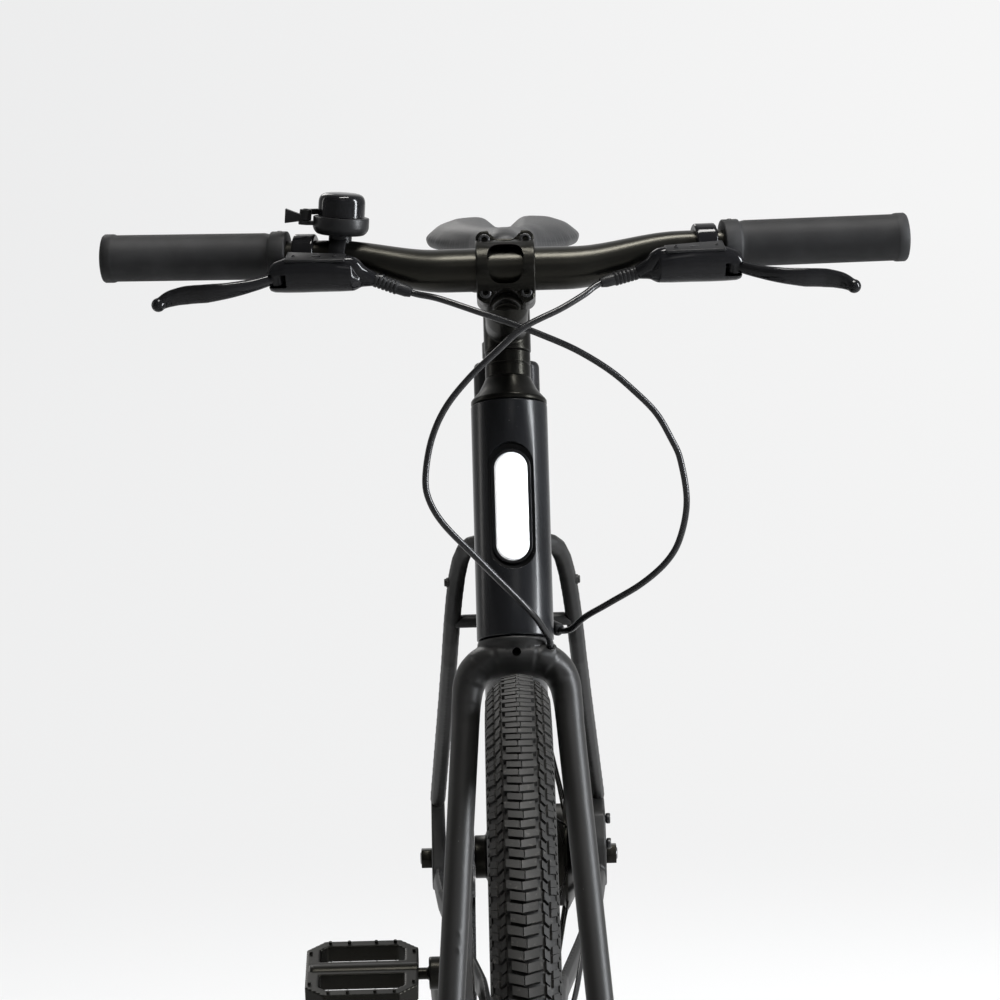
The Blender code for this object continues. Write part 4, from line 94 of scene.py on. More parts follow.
STEERING = leaned(FRONT_AXLE + FORK_OFFSET * Vector((0, sin(HEAD_ANGLE), -cos(HEAD_ANGLE))), HEAD_ANGLE)
SEAT = leaned(BOTTOM_BRACKET, SEAT_ANGLE)
BAR = Matrix.Translation(STEERING @ Vector((0, -BAR_REACH, BAR_HEIGHT)))
RAILS = Matrix.Translation(SEAT @ Vector((0, 0, 0.654)))
FRONT_WHEEL = Matrix.Translation(FRONT_AXLE)
REAR_WHEEL = Matrix.Translation(REAR_AXLE)
CRANK = Matrix.Translation(BOTTOM_BRACKET)
CLAMP = shifted(0, -BAR_REACH, BAR_HEIGHT)

# Brake hoses: their radius, the spacing of their points and the points that they pass through, the
# front one from the steering axis, the rear ones from the ground and from the bottom bracket
HOSE = 0.0024
HOSE_STEP = 0.003
LEAST_BEND = 0.023
FRONT_ROUTE = (
    (0.0690, -0.1030, 0.6265), (0.0570, -0.1080, 0.6170), (0.0390, -0.1140, 0.6050),
    (0.0120, -0.1180, 0.5910), (-0.0080, -0.1170, 0.5740), (-0.0280, -0.1140, 0.5560),
    (-0.0460, -0.1100, 0.5350), (-0.0570, -0.1060, 0.5120), (-0.0620, -0.1010, 0.4860),
    (-0.0600, -0.0970, 0.4700), (-0.0500, -0.0910, 0.4530), (-0.0290, -0.0800, 0.4320),
    (-0.0130, -0.0690, 0.4170), (-0.0010, -0.0600, 0.4060), (0.0080, -0.0530, 0.3975),
    (0.0160, -0.0430, 0.3900), (0.0220, -0.0310, 0.3825),
)
REAR_ROUTE = (
    (-0.0690, -0.3660, 0.9510), (-0.0500, -0.3730, 0.9470), (-0.0210, -0.3790, 0.9370),
    (0.0030, -0.3790, 0.9280), (0.0270, -0.3790, 0.9180), (0.0500, -0.3780, 0.9070),
    (0.0730, -0.3760, 0.8920), (0.0900, -0.3750, 0.8770), (0.1070, -0.3750, 0.8590),
    (0.1180, -0.3750, 0.8390), (0.1240, -0.3750, 0.8240), (0.1280, -0.3750, 0.7940),
    (0.1230, -0.3720, 0.7670), (0.1130, -0.3700, 0.7490), (0.0940, -0.3660, 0.7320),
    (0.0690, -0.3580, 0.7165), (0.0500, -0.3470, 0.7040),
)
STAY_ROUTE = (
    (0.0400, -0.0020, 0.0300), (0.0450, 0.0300, 0.0380), (0.0490, 0.0650, 0.0480),
    (0.0530, 0.1080, 0.0570), (0.0570, 0.1660, 0.0610), (0.0605, 0.2160, 0.0660),
    (0.0640, 0.2760, 0.0760), (0.0630, 0.3150, 0.0870),
)
# Where a hose goes into the bicycle: the place and the way in
CROWN_PORT = (Vector((0.0254, -0.0172, 0.3739)), Vector((0.05, 0.80, -0.60)).normalized())
HEAD_PORT = (Vector((0.0335, -0.3320, 0.6935)), Vector((-0.66, 0.72, 0.20)).normalized())
STAY_PORT = (Vector((0.0285, 0.0720, 0.3030)), Vector((-0.62, -0.74, 0.26)).normalized())
CALIPER_PORT = (REAR_AXLE + Vector((0.0585, -0.0905, 0.0320)), Vector((0.0, 0.98, 0.20)).normalized())


# Camera, where the photograph was taken from
def make_camera():
    data = bpy.data.cameras.new("camera")
    data.sensor_width = 36.0
    data.lens = 173.36
    item = bpy.data.objects.new("camera", data)
    bpy.context.scene.collection.objects.link(item)
    pitch, roll = radians(7.57), radians(-1.56)
    right = Vector((1, 0, 0))
    ahead = Vector((0, cos(pitch), -sin(pitch)))
    up = Vector((0, sin(pitch), cos(pitch)))
    turned_right = right * cos(roll) + up * sin(roll)
    turned_up = up * cos(roll) - right * sin(roll)
    turn = Matrix((turned_right, turned_up, -ahead)).transposed().to_4x4()
    item.matrix_world = shifted(-0.0086, -3.8671, 1.2621) @ turn
    bpy.context.scene.camera = item


make_camera()


# Modelling tools. Each leaves one new object, closed and with its faces outwards.
def only(item, *others):
    """Leave these objects selected, and the first one active."""
    bpy.ops.object.select_all(action="DESELECT")
    for one in (item, *others):
        one.select_set(True)
    bpy.context.view_layer.objects.active = item
    return item


def edit(item):
    if item.mode != "EDIT":
        only(item)
        bpy.ops.object.mode_set(mode="EDIT")


def reshaped(item, move):
    """Move an object's points one by one."""
    edit(item)
    mesh = bmesh.from_edit_mesh(item.data)
    mesh.normal_update()
    for vert in mesh.verts:
        move(vert)
    bmesh.update_edit_mesh(item.data)
    bpy.ops.object.mode_set(mode="OBJECT")
    return item


def tidied(item, distance=3e-6):
    """Merge what meets, and turn every face outwards."""
    edit(item)
    bpy.ops.mesh.select_all(action="SELECT")
    bpy.ops.mesh.remove_doubles(threshold=distance)
    bpy.ops.mesh.normals_make_consistent(inside=False)
    bpy.ops.object.mode_set(mode="OBJECT")
    return item


def placed(item, place):
    """Put an object where a frame says, with its place in its mesh."""
    item.matrix_world = place
    only(item)
    bpy.ops.object.transform_apply(location=True, rotation=True, scale=True)
    if place.determinant() < 0:
        tidied(item)
    return item


def joined(item, *others):
    if others:
        only(item, *others)
        bpy.ops.object.join()
    return item


def changed(item, kind, **settings):
    """Add a modifier to an object and apply it."""
    modifier = item.modifiers.new(kind.lower(), kind)
    for key, value in settings.items():
        setattr(modifier, key, value)
    only(item)
    bpy.ops.object.modifier_apply(modifier=modifier.name)
    return item


def fitted(item, *tools, operation="DIFFERENCE"):
    """Cut tools out of an object, or weld them on, and remove them."""
    for tool in tools:
        changed(item, "BOOLEAN", operation=operation, object=tool)
        bpy.data.objects.remove(tool)
    return item


def welded(item, *tools):
    return fitted(item, *tools, operation="UNION")


def eased(item, width, segments, limit=35):
    return changed(item, "BEVEL", width=width, segments=segments, limit_method="ANGLE",
                   angle_limit=radians(limit))


def cast(item, voxel, rounds):
    """Run an object's pieces together and soften every edge, as in a casting."""
    changed(item, "REMESH", mode="VOXEL", voxel_size=voxel)
    return changed(item, "SMOOTH", factor=0.5, iterations=rounds)


def drawn(sections, axis, sides, closed=False):
    """Draw a ring out through parallel sections: a centre and the half sizes across and up."""
    turn = {"X": (0, pi / 2, 0), "Y": (pi / 2, 0, 0), "Z": (0, 0, 0)}[axis]
    bpy.ops.object.select_all(action="DESELECT")
    bpy.ops.mesh.primitive_circle_add(
        vertices=sides, radius=1.0, rotation=turn, fill_type="NOTHING" if closed else "NGON")
    item = bpy.context.object
    bpy.ops.object.transform_apply(rotation=True)
    bpy.ops.object.mode_set(mode="EDIT")
    bpy.ops.mesh.select_all(action="SELECT")
    place, size = Vector((0, 0, 0)), Vector((1, 1, 1))
    across = {"X": (1, 2), "Y": (0, 2), "Z": (0, 1)}[axis]
    for index, section in enumerate(sections):
        centre, halves = Vector(section[:3]), section[3:]
        if index:
            bpy.ops.mesh.extrude_region_move(TRANSFORM_OT_translate={"value": centre - place})
        else:
            bpy.ops.transform.translate(value=centre)
        share = Vector((1, 1, 1))
        for way, half in zip(across, (halves[0], halves[-1])):
            half = max(half, 1e-6 if index else 1e-4)
            share[way] = half / size[way]
            size[way] = half
        bpy.ops.transform.resize(value=share, center_override=centre)
        place = centre
    if closed:
        bpy.ops.mesh.select_mode(type="EDGE")
        bpy.ops.mesh.select_all(action="DESELECT")
        bpy.ops.mesh.select_non_manifold()
        bpy.ops.mesh.bridge_edge_loops()
        bpy.ops.mesh.select_mode(type="VERT")
    return tidied(item)


def lathe(profile, sides, closed=False):
    """A turned form from radii and heights along Z."""
    return drawn([(0, 0, height, radius) for radius, height in profile], "Z", sides, closed)


def wheel(profile, sides, closed=False):
    """A turned form from radii and places along X."""
    return drawn([(x, 0, 0, radius) for radius, x in profile], "X", sides, closed)


def both_ways(half, middle=()):
    """A profile and its mirror image, with what lies between them."""
    return [*half, *middle, *((radius, -x) for radius, x in reversed(half))]


def drum(radius, start, end, sides=96):
    """A plain round form along X."""
    return wheel([(radius, start), (radius, end)], sides)


def aimed(start, end):
    """A frame at one point whose Z looks at another."""
    ahead = (Vector(end) - Vector(start)).normalized()
    turn = Vector((0, 0, 1)).rotation_difference(ahead).to_matrix().to_4x4()
    return Matrix.Translation(start) @ turn


def rod(radius, start, end, sides=32, far=None):
    """A round bar between two points, with its own radius at the far end."""
    length = (Vector(end) - Vector(start)).length
    return placed(lathe([(radius, 0), (far or radius, length)], sides), aimed(start, end))


def peg(radius, x, y, low, high, sides=32, far=None):
    """An upright round bar."""
    return rod(radius, (x, y, low), (x, y, high), sides, far)


def block(size, centre=(0, 0, 0), ease=0.0, segments=2):
    bpy.ops.object.select_all(action="DESELECT")
    bpy.ops.mesh.primitive_cube_add(size=1.0, scale=size, location=centre)
    item = bpy.context.object
    bpy.ops.object.transform_apply(location=True, rotation=True, scale=True)
    return eased(item, ease, segments) if ease else item


def slot_form(width, length, low, high, steps=12):
    """A long block with round ends along Y, from one height to another."""
    radius = width / 2
    item = drawn([(0, 0, low, radius), (0, 0, high, radius)], "Z", steps * 4)
    edit(item)
    bpy.ops.mesh.select_all(action="DESELECT")
    for way in (-1, 1):
        mesh = bmesh.from_edit_mesh(item.data)
        for vert in mesh.verts:
            vert.select_set(vert.co.y * way > 1e-5)
        mesh.select_flush_mode()
        bmesh.update_edit_mesh(item.data)
        bpy.ops.transform.translate(value=(0, way * (length - width) / 2, 0))
    return tidied(item)


def bent(points, radius, sides, steps, shares=None):
    """A round bar or hose along smooth points, with each point's share of the radius."""
    data = bpy.data.curves.new("bent", "CURVE")
    data.dimensions = "3D"
    data.bevel_depth = radius
    data.bevel_resolution = sides // 2 - 1
    data.resolution_u = steps
    data.use_fill_caps = True
    line = data.splines.new("BEZIER")
    line.bezier_points.add(len(points) - 1)
    for index, (knot, point) in enumerate(zip(line.bezier_points, points)):
        knot.co = point
        knot.radius = shares[index] if shares else 1.0
        knot.handle_left_type = knot.handle_right_type = "AUTO"
    item = bpy.data.objects.new("bent", data)
    bpy.context.scene.collection.objects.link(item)
    only(item)
    bpy.ops.object.convert(target="MESH")
    return tidied(bpy.context.object)


def twin(item):
    """A copy with its own mesh."""
    only(item)
    bpy.ops.object.duplicate(linked=False)
    return bpy.context.object


def around(item, count, start=0.0):
    """Repeat an object round X, and join the copies to it."""
    turns = (turned(start + 2 * pi * index / count, "X") for index in range(1, count))
    return joined(item, *(placed(twin(item), turn) for turn in turns))


def copied(node):
    """A copy of a CAD node's mesh, merged, to be worked further."""
    item = bpy.data.objects.new("copy", NODES[node].data.copy())
    bpy.context.scene.collection.objects.link(item)
    return tidied(item, 1e-5)


def spun(item, count):
    """Repeat an object round X in edit mode, as one mesh."""
    edit(item)
    bpy.ops.mesh.select_all(action="SELECT")
    bpy.ops.mesh.spin(steps=count - 1, dupli=True, angle=2 * pi * (count - 1) / count,
                      center=(0, 0, 0), axis=(1, 0, 0))
    return tidied(item)


def smooth_step(low, high, value):
    share = min(max((value - low) / (high - low), 0), 1)
    return share * share * (3 - 2 * share)


# Materials
class Socket:
    """A shader output that can be calculated with."""

    def __init__(self, graph, output):
        self.graph = graph
        self.output = output

    def math(self, operation, *values):
        return self.graph.node("Math", {"operation": operation}, _0=self, **{
            f"_{i + 1}": value for i, value in enumerate(values)})

    def __add__(self, other):
        return self.math("ADD", other)

    def __radd__(self, other):
        return self.math("ADD", other)

    def __mul__(self, other):
        return self.math("MULTIPLY", other)

    def __rmul__(self, other):
        return self.math("MULTIPLY", other)

    def __sub__(self, other):
        return self.math("SUBTRACT", other)

    def __rsub__(self, other):
        return self.math("MULTIPLY", -1.0).math("ADD", other)

    def ramp(self, low, high):
        """Zero below one value, one above another, and a smooth blend between."""
        return self.graph.node("MapRange", {"interpolation_type": "SMOOTHSTEP"}, Value=self,
                               From_Min=low, From_Max=high)


class Graph:
    """The nodes of one material."""

    def __init__(self, name):
        self.material = bpy.data.materials.new(name)
        self.material.use_nodes = True
        self.tree = self.material.node_tree
        self.tree.nodes.clear()
        self.coordinates = self.node("TexCoord", output="Object")

    def node(self, kind, settings=None, output=0, **inputs):
        item = self.tree.nodes.new("ShaderNode" + kind)
        for key, value in (settings or {}).items():
            setattr(item, key, value)
        for key, value in inputs.items():
            index = int(key[1:]) if key[0] == "_" else key.replace("_", " ")
            if isinstance(value, Socket):
                self.tree.links.new(value.output, item.inputs[index])
            else:
                item.inputs[index].default_value = value
        return Socket(self, item.outputs[output])

    def noise(self, scale, detail, stretch=None):
        vector = self.coordinates
        if stretch:
            vector = self.node("Mapping", Vector=vector, Scale=stretch)
        return self.node("TexNoise", Vector=vector, Scale=scale, Detail=detail, Roughness=0.55)

    def cells(self, scale, feature="F1"):
        return self.node("TexVoronoi", {"feature": feature}, Vector=self.coordinates, Scale=scale)

    def mix(self, share, first, second):
        first = (*first, 1.0) if isinstance(first, tuple) else first
        second = (*second, 1.0) if isinstance(second, tuple) else second
        return self.node("Mix", {"data_type": "RGBA"}, 2, _0=share, _6=first, _7=second)

    def bump(self, height, strength, distance):
        return self.node("Bump", Height=height, Strength=strength, Distance=distance)

    def finish(self, **inputs):
        return self.shown(self.node("BsdfPrincipled", **inputs))

    def shown(self, shader):
        item = self.tree.nodes.new("ShaderNodeOutputMaterial")
        self.tree.links.new(shader.output, item.inputs["Surface"])
        return self.material


def paint(name, scales, dark, pale, speck_colour, rough, sheen, peel_strength):
    """Black frame paint, with a faint orange peel, dust and small specks."""
    g = Graph(name)
    cloud = g.noise(scales[0], 4.0)
    speck = g.cells(scales[1]).ramp(0.10, 0.04) * g.noise(60.0, 1.0).ramp(*scales[2:])
    colour = g.mix(speck * 0.5, g.mix(cloud, dark, pale), speck_colour)
    return g.finish(
        Base_Color=colour, Roughness=cloud * rough[0] + (speck * 0.3 + rough[1]), Metallic=0.0,
        Specular_IOR_Level=sheen, Normal=g.bump(g.noise(900.0, 2.0), peel_strength, 0.0002),
    )


def grained(name, cloud, fine, dark, pale, rough, bump, **settings):
    """A finish with a clouded colour, and a fine grain that sets its gloss and relief."""
    g = Graph(name)
    colour = g.mix(g.noise(*cloud), dark, pale)
    fine = g.noise(*fine)
    return g.finish(Base_Color=colour, Roughness=fine * rough[0] + rough[1],
                    Normal=g.bump(fine, *bump), **settings)


def anodised(name, sheen):
    """Satin black alloy with a fine blasted grain, which catches the light in a warm tone."""
    g = Graph(name)
    cloud = g.noise(14.0, 3.0)
    grain = g.noise(2600.0, 2.0)
    colour = g.mix(cloud, (0.0018, 0.0018, 0.0017), (0.0038, 0.0037, 0.0034))
    return g.finish(
        Base_Color=colour, Metallic=0.0, Roughness=cloud * 0.08 + (grain * 0.08 + 0.22),
        Specular_IOR_Level=sheen, Specular_Tint=(1.0, 0.96, 0.80, 1.0),
        Normal=g.bump(grain, 0.12, 0.00008),
    )


def gloss():
    """Black lacquer on cast alloy, with a few smears."""
    g = Graph("gloss_black")
    cloud = g.noise(40.0, 3.0)
    smear = g.noise(90.0, 3.0, (1.0, 0.3, 1.0))
    colour = g.mix(cloud, (0.0035, 0.0035, 0.0040), (0.0065, 0.0065, 0.0070))
    return g.finish(
        Base_Color=colour, Roughness=smear.ramp(0.45, 0.8) * 0.14 + 0.11, Metallic=0.0,
        Specular_IOR_Level=0.14, Normal=g.bump(cloud, 0.06, 0.0003),
    )


def plastic():
    g = Graph("black_plastic")
    cloud = g.noise(22.0, 3.0)
    grain = g.cells(1500.0)
    colour = g.mix(cloud, (0.0055, 0.0055, 0.0058), (0.0100, 0.0100, 0.0104))
    return g.finish(
        Base_Color=colour, Roughness=cloud * 0.12 + 0.32, Specular_IOR_Level=0.135,
        Normal=g.bump(grain, 0.16, 0.0002),
    )


def grip_rubber():
    """Soft rubber with a very fine grain and slightly greyer, handled patches."""
    g = Graph("grip_rubber")
    cloud = g.noise(30.0, 4.0)
    fine = g.noise(1500.0, 2.0)
    colour = g.mix(cloud.ramp(0.35, 0.75), (0.0085, 0.0085, 0.0088), (0.0150, 0.0150, 0.0154))
    return g.finish(
        Base_Color=colour, Roughness=fine * 0.14 + 0.54, Specular_IOR_Level=0.16,
        Normal=g.bump(fine, 0.25, 0.00020),
    )


def tyre_rubber():
    """Black rubber, greyer where the tread meets the road."""
    g = Graph("tyre_rubber")
    worn = g.node("Attribute", {"attribute_name": "worn"}, "Fac")
    cloud = g.noise(70.0, 4.0)
    fine = g.noise(700.0, 3.0)
    dark = g.mix(cloud, (0.0050, 0.0048, 0.0044), (0.0100, 0.0097, 0.0089))
    pale = g.mix(cloud, (0.018, 0.0177, 0.0168), (0.036, 0.0350, 0.0333))
    dust = g.noise(260.0, 3.0).ramp(0.60, 0.74) * 0.30
    colour = g.mix(dust, g.mix(worn, dark, pale), (0.095, 0.090, 0.080))
    return g.finish(
        Base_Color=colour, Roughness=fine * 0.18 + 0.52, Specular_IOR_Level=0.16,
        Normal=g.bump(fine, 0.30, 0.0003),
    )


def saddle_cover():
    """Smooth synthetic leather with a fine pebbled grain."""
    g = Graph("saddle_cover")
    cloud = g.noise(16.0, 4.0)
    grain = g.cells(900.0, "DISTANCE_TO_EDGE")
    pore = g.noise(1500.0, 2.0)
    colour = g.mix(cloud, (0.0120, 0.0120, 0.0123), (0.0200, 0.0200, 0.0204))
    return g.finish(
        Base_Color=colour, Roughness=cloud * 0.10 + 0.40, Specular_IOR_Level=0.24,
        Normal=g.bump(grain.ramp(0.0, 0.25) * 0.8 + pore * 0.2, 0.18, 0.00022),
    )


def light_lens():
    """A lit white diffuser, a little greyer at its rim."""
    g = Graph("light_lens")
    cloud = g.noise(45.0, 3.0)
    colour = g.mix(cloud.ramp(0.4, 0.7), (0.84, 0.85, 0.87), (0.95, 0.95, 0.95))
    return g.finish(Base_Color=colour, Roughness=cloud * 0.1 + 0.12, Emission_Color=colour,
                    Emission_Strength=0.30)


def red_lens():
    g = Graph("red_lens")
    prism_lines = g.node("TexWave", {"bands_direction": "Z"}, "Fac", Vector=g.coordinates, Scale=160.0)
    colour = g.mix(prism_lines, (0.20, 0.004, 0.004), (0.42, 0.015, 0.012))
    return g.finish(Base_Color=colour, Roughness=prism_lines * 0.08 + 0.10, Coat_Weight=0.5,
                    Normal=g.bump(prism_lines, 0.3, 0.0004))


def black_bolt():
    g = Graph("bolt_black")
    cloud = g.noise(300.0, 2.0)
    colour = g.mix(cloud, (0.010, 0.010, 0.0105), (0.055, 0.055, 0.056))
    return g.finish(Base_Color=colour, Metallic=0.8, Roughness=cloud * 0.2 + 0.20)


WEAVE, HOSE_GRAIN = (1400.0, 2.0, (1.0, 3.0, 3.0)), (500.0, 2.0)
MATERIALS = {
    # Satin black on the head tube and main tubes, and a flatter, browner one on the fork and stays
    "frame_paint": paint(
        "frame_paint", (9.0, 260.0, 0.62, 0.70), (0.0044, 0.0047, 0.0054), (0.0080, 0.0083, 0.0092),
        (0.20, 0.20, 0.195), (0.08, 0.21), 0.17, 0.08),
    "fork_paint": paint(
        "fork_paint", (11.0, 240.0, 0.60, 0.68), (0.0085, 0.0084, 0.0082), (0.0135, 0.0133, 0.0128),
        (0.20, 0.20, 0.19), (0.10, 0.38), 0.19, 0.10),
    "black_anodised": anodised("black_anodised", 0.105),
    "bar_black": anodised("bar_black", 0.19),
    "gloss_black": gloss(), "black_plastic": plastic(), "grip_rubber": grip_rubber(),
    "tyre_rubber": tyre_rubber(), "saddle_cover": saddle_cover(), "light_lens": light_lens(),
    "red_lens": red_lens(), "bolt_black": black_bolt(),
    "belt_rubber": grained(
        "belt_rubber", WEAVE, WEAVE, (0.0075, 0.0075, 0.0080), (0.0190, 0.0190, 0.0195),
        (0.2, 0.52), (0.3, 0.0002), Specular_IOR_Level=0.32),
    "hose_cover": grained(
        "hose_cover", HOSE_GRAIN, HOSE_GRAIN, (0.0045, 0.0045, 0.0048), (0.0085, 0.0085, 0.0090),
        (0.10, 0.20), (0.08, 0.0001), Specular_IOR_Level=0.26),
    "steel": grained(
        "steel", (60.0, 3.0), (500.0, 3.0, (0.2, 6.0, 1.0)), (0.14, 0.14, 0.145), (0.25, 0.25, 0.255),
        (0.2, 0.24), (0.12, 0.0001), Metallic=1.0),
    # The brake discs are ground in fine rings round the axle
    "disc_steel": grained(
        "disc_steel", (35.0, 3.0), (1800.0, 2.0, (0.1, 1.0, 1.0)), (0.27, 0.27, 0.28), (0.42, 0.42, 0.425),
        (0.22, 0.22), (0.2, 0.0001), Metallic=1.0),
}


def finished(item, name, finish, *nodes, sharp):
    """Name a piece, give it its finish, and let it stand for its CAD nodes."""
    item.name = item.data.name = name
    item.data.materials.clear()
    item.data.materials.append(MATERIALS[finish])
    only(item)
    bpy.ops.object.shade_smooth_by_angle(angle=radians(sharp))
    if nodes:
        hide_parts(*nodes)


def piece(item, name, finish, body, *nodes, sharp=35):
    """A finished piece that rides on one body."""
    finished(item, name, finish, *nodes, sharp=sharp)
    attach(item, body)
    return item


def softened(node, name, finish, body, width):
    """A CAD piece with its edges eased and its round faces smooth."""
    piece(eased(copied(node), width, 2, 40), name, finish, body, node)


def recast(node, name, finish, body, voxel, rounds, sharp):
    """A CAD piece with its facets and edges run smooth, as in a casting or a bent tube."""
    return piece(cast(copied(node), voxel, rounds), name, finish, body, node, sharp=sharp)


def socket_bolt(radius, height, place):
    """A cap screw: a round head with a chamfered rim and a six-sided socket."""
    head = lathe([(0, 0), (radius, 0), (radius, height - 0.0006), (radius - 0.0006, height), (0, height)], 48)
    key = lathe([(radius * 0.56, height - 0.0024), (radius * 0.56, height + 0.002)], 6)
    return placed(eased(fitted(head, key), 0.00025, 2), place)


def bolts(name, body, radius, height, *places):
    """Cap screws that hold one piece."""
    piece(joined(*[socket_bolt(radius, height, place) for place in places]), name, "bolt_black", body)


# Head tube, headlight and the main tubes
def facing(item, forward):
    """Lay a form that is drawn flat before the steering axis, where the light is."""
    return placed(item, STEERING @ shifted(0, -forward, LIGHT_HEIGHT) @ turned(pi / 2, "X"))


def make_head_tube():
    tube = lathe([
        (0.0150, CROWN), (0.0272, CROWN), (0.0280, CROWN + 0.0003), (0.0285, CROWN + 0.0010),
        (0.0285, HEAD_TOP - 0.0010), (0.0280, HEAD_TOP - 0.0003), (0.0272, HEAD_TOP),
        (0.0150, HEAD_TOP),
    ], 128, closed=True)
    placed(tube, STEERING)
    pocket = facing(slot_form(0.034, 0.096, 0, 0.030), 0.0205)
    tube = eased(fitted(tube, pocket), 0.0006, 3, 25)
    piece(tube, "head_tube_shell", "frame_paint", "frame", "head_tube")


def make_headlight():
    bezel = slot_form(0.0296, 0.0866, 0, 0.0038, 16)
    bezel = eased(fitted(bezel, slot_form(0.0252, 0.0822, -0.01, 0.02, 16)), 0.0006, 3)
    piece(facing(bezel, 0.0208), "headlight_surround", "gloss_black", "frame", "headlight_bezel")
    lens = eased(slot_form(0.0246, 0.0816, 0, 0.0048, 16), 0.0020, 5)
    piece(facing(lens, 0.0208), "headlight_diffuser", "light_lens", "frame", "headlight_lens")


def frame_tube(start, end, near, far, inset, name, node):
    """A tapering tube of the frame, started inside the tube that it is welded to."""
    ahead = (end - start).normalized()
    tube = rod(near, start + ahead * inset, end, 72, far)
    piece(tube, name, "frame_paint", "frame", node)


def make_front_triangle():
    head = STEERING @ Vector((0, 0, 0.426))
    top = STEERING @ Vector((0, 0, 0.530))
    seat = SEAT @ Vector((0, 0, 0.545))
    frame_tube(head, BOTTOM_BRACKET, 0.0245, 0.0215, 0.016, "down_tube_shell", "down_tube")
    frame_tube(top, seat, 0.0215, 0.0170, 0.016, "top_tube_shell", "top_tube")
    tube = lathe([(0.0153, 0.010), (0.0175, 0.010), (0.0175, 0.5996), (0.0153, 0.5996)], 64, closed=True)
    piece(placed(tube, SEAT), "seat_tube_shell", "frame_paint", "frame", "seat_tube")
    shell = wheel(both_ways([
        (0.0100, -0.0385), (0.0205, -0.0385), (0.0225, -0.0375), (0.0225, -0.0345), (0.0215, -0.0340),
    ]), 64, closed=True)
    notches = block((0.0012, 0.0030, 0.0052), (0.0385, 0, 0.0215))
    for side in (-1, 1):
        ring = around(placed(twin(notches), Matrix.Scale(side, 4, (1, 0, 0))), 12)
        shell = fitted(shell, ring)
    bpy.data.objects.remove(notches)
    piece(placed(shell, CRANK), "bottom_bracket_cups", "frame_paint", "frame", "bottom_bracket_shell")


make_head_tube()
make_headlight()
make_front_triangle()


# Fork
def fork_forward(height):
    """How far before the steering axis the legs are."""
    return FORK_OFFSET * max(0.0, 1 - height / LEG_LENGTH)


def deepen(legs, line):
    """Stretch the round legs fore and aft where the crown is deeper than it is tall."""
    half = [row for row in line if row[0] >= 0]

    def move(vert):
        height = max(vert.co.z, 0.0)
        x = abs(vert.co.x)
        near = sorted(half, key=lambda row: (row[0] - x) ** 2 + (row[1] - height) ** 2)[:2]
        gaps = [sqrt((row[0] - x) ** 2 + (row[1] - height) ** 2) + 1e-5 for row in near]
        ratios = [row[3] / row[2] for row in near]
        ratio = (ratios[0] * gaps[1] + ratios[1] * gaps[0]) / (gaps[0] + gaps[1])
        centre = -fork_forward(height)
        vert.co.y = centre + (vert.co.y - centre) * ratio

    reshaped(legs, move)


def make_fork():
    side = [(0.0611, 0.010, 0.0098, 0.0098), (0.0498, 0.165, 0.0101, 0.0101),
            (0.0385, 0.320, 0.0104, 0.0108), (0.0372, 0.338, 0.0110, 0.0122),
            (0.0345, 0.352, 0.0121, 0.0150), (0.0285, 0.3615, 0.0128, 0.0195),
            (0.0180, 0.3672, 0.0132, 0.0240)]
    line = side + [(0.0, 0.3685, 0.0134, 0.0262)] + [(-x, t, r, d) for x, t, r, d in reversed(side)]
    points = [(x, -fork_forward(t), t) for x, t, r, d in line]
    legs = bent(points, 0.0100, 40, 8, [r / 0.0100 for x, t, r, d in line])
    deepen(legs, line)
    seat = CROWN - 0.0005
    crown = lathe([
        (0, seat - 0.0160), (0.0180, seat - 0.0140), (0.0255, seat - 0.0085), (0.0282, seat - 0.0040),
        (0.0284, seat - 0.0018), (0.0278, seat), (0, seat),
    ], 96)
    fork = joined(legs, crown)
    for way in (-1, 1):
        eye = drum(0.0140, way * 0.0502, way * 0.0660, 48)
        fork = joined(fork, placed(eye, shifted(0, -FORK_OFFSET, 0)))
    for height in (0.048, 0.082):
        pad = rod(0.0062, (0.0580, -fork_forward(height), height), (0.0580, -0.0216, height), 32)
        fork = joined(fork, pad)
    tip, inward = CROWN_PORT
    fork = joined(fork, rod(0.0050, tip, tip + inward * 0.016, 32))
    for x, height in ((-0.0455, 0.2100), (-0.0480, 0.1620), (-0.0488, 0.1500)):
        foot = Vector((x, -fork_forward(height) - 0.0070, height))
        fork = joined(fork, rod(0.0030, foot, foot + Vector((0, -0.0030, 0)), 24, 0.0026))
    fork = cast(fork, 0.0009, 8)
    bore = rod(0.0030, tip - inward * 0.01, tip + inward * 0.008, 24)
    hole_height = CROWN - 0.0125
    hole = rod(0.0033, (0.0006, -0.034, hole_height), (0.0006, -0.004, hole_height), 32)
    axle = placed(drum(0.0070, -0.08, 0.08, 48), shifted(0, -FORK_OFFSET, 0))
    fork = fitted(fork, bore, hole, axle)
    piece(placed(fork, STEERING), "fork_casting", "fork_paint", "steering", "fork", sharp=50)


def make_front_axle():
    axle = wheel(both_ways([
        (0.0050, -0.0678), (0.0085, -0.0704), (0.0095, -0.0694), (0.0095, -0.0663), (0.0060, -0.0660),
    ]), 48)
    for way in (-1, 1):
        axle = fitted(axle, drum(0.0030, way * 0.0640, way * 0.0720, 6))
    piece(placed(axle, FRONT_WHEEL), "front_axle_bolt", "black_anodised", "steering", "front_axle")


make_fork()
make_front_axle()


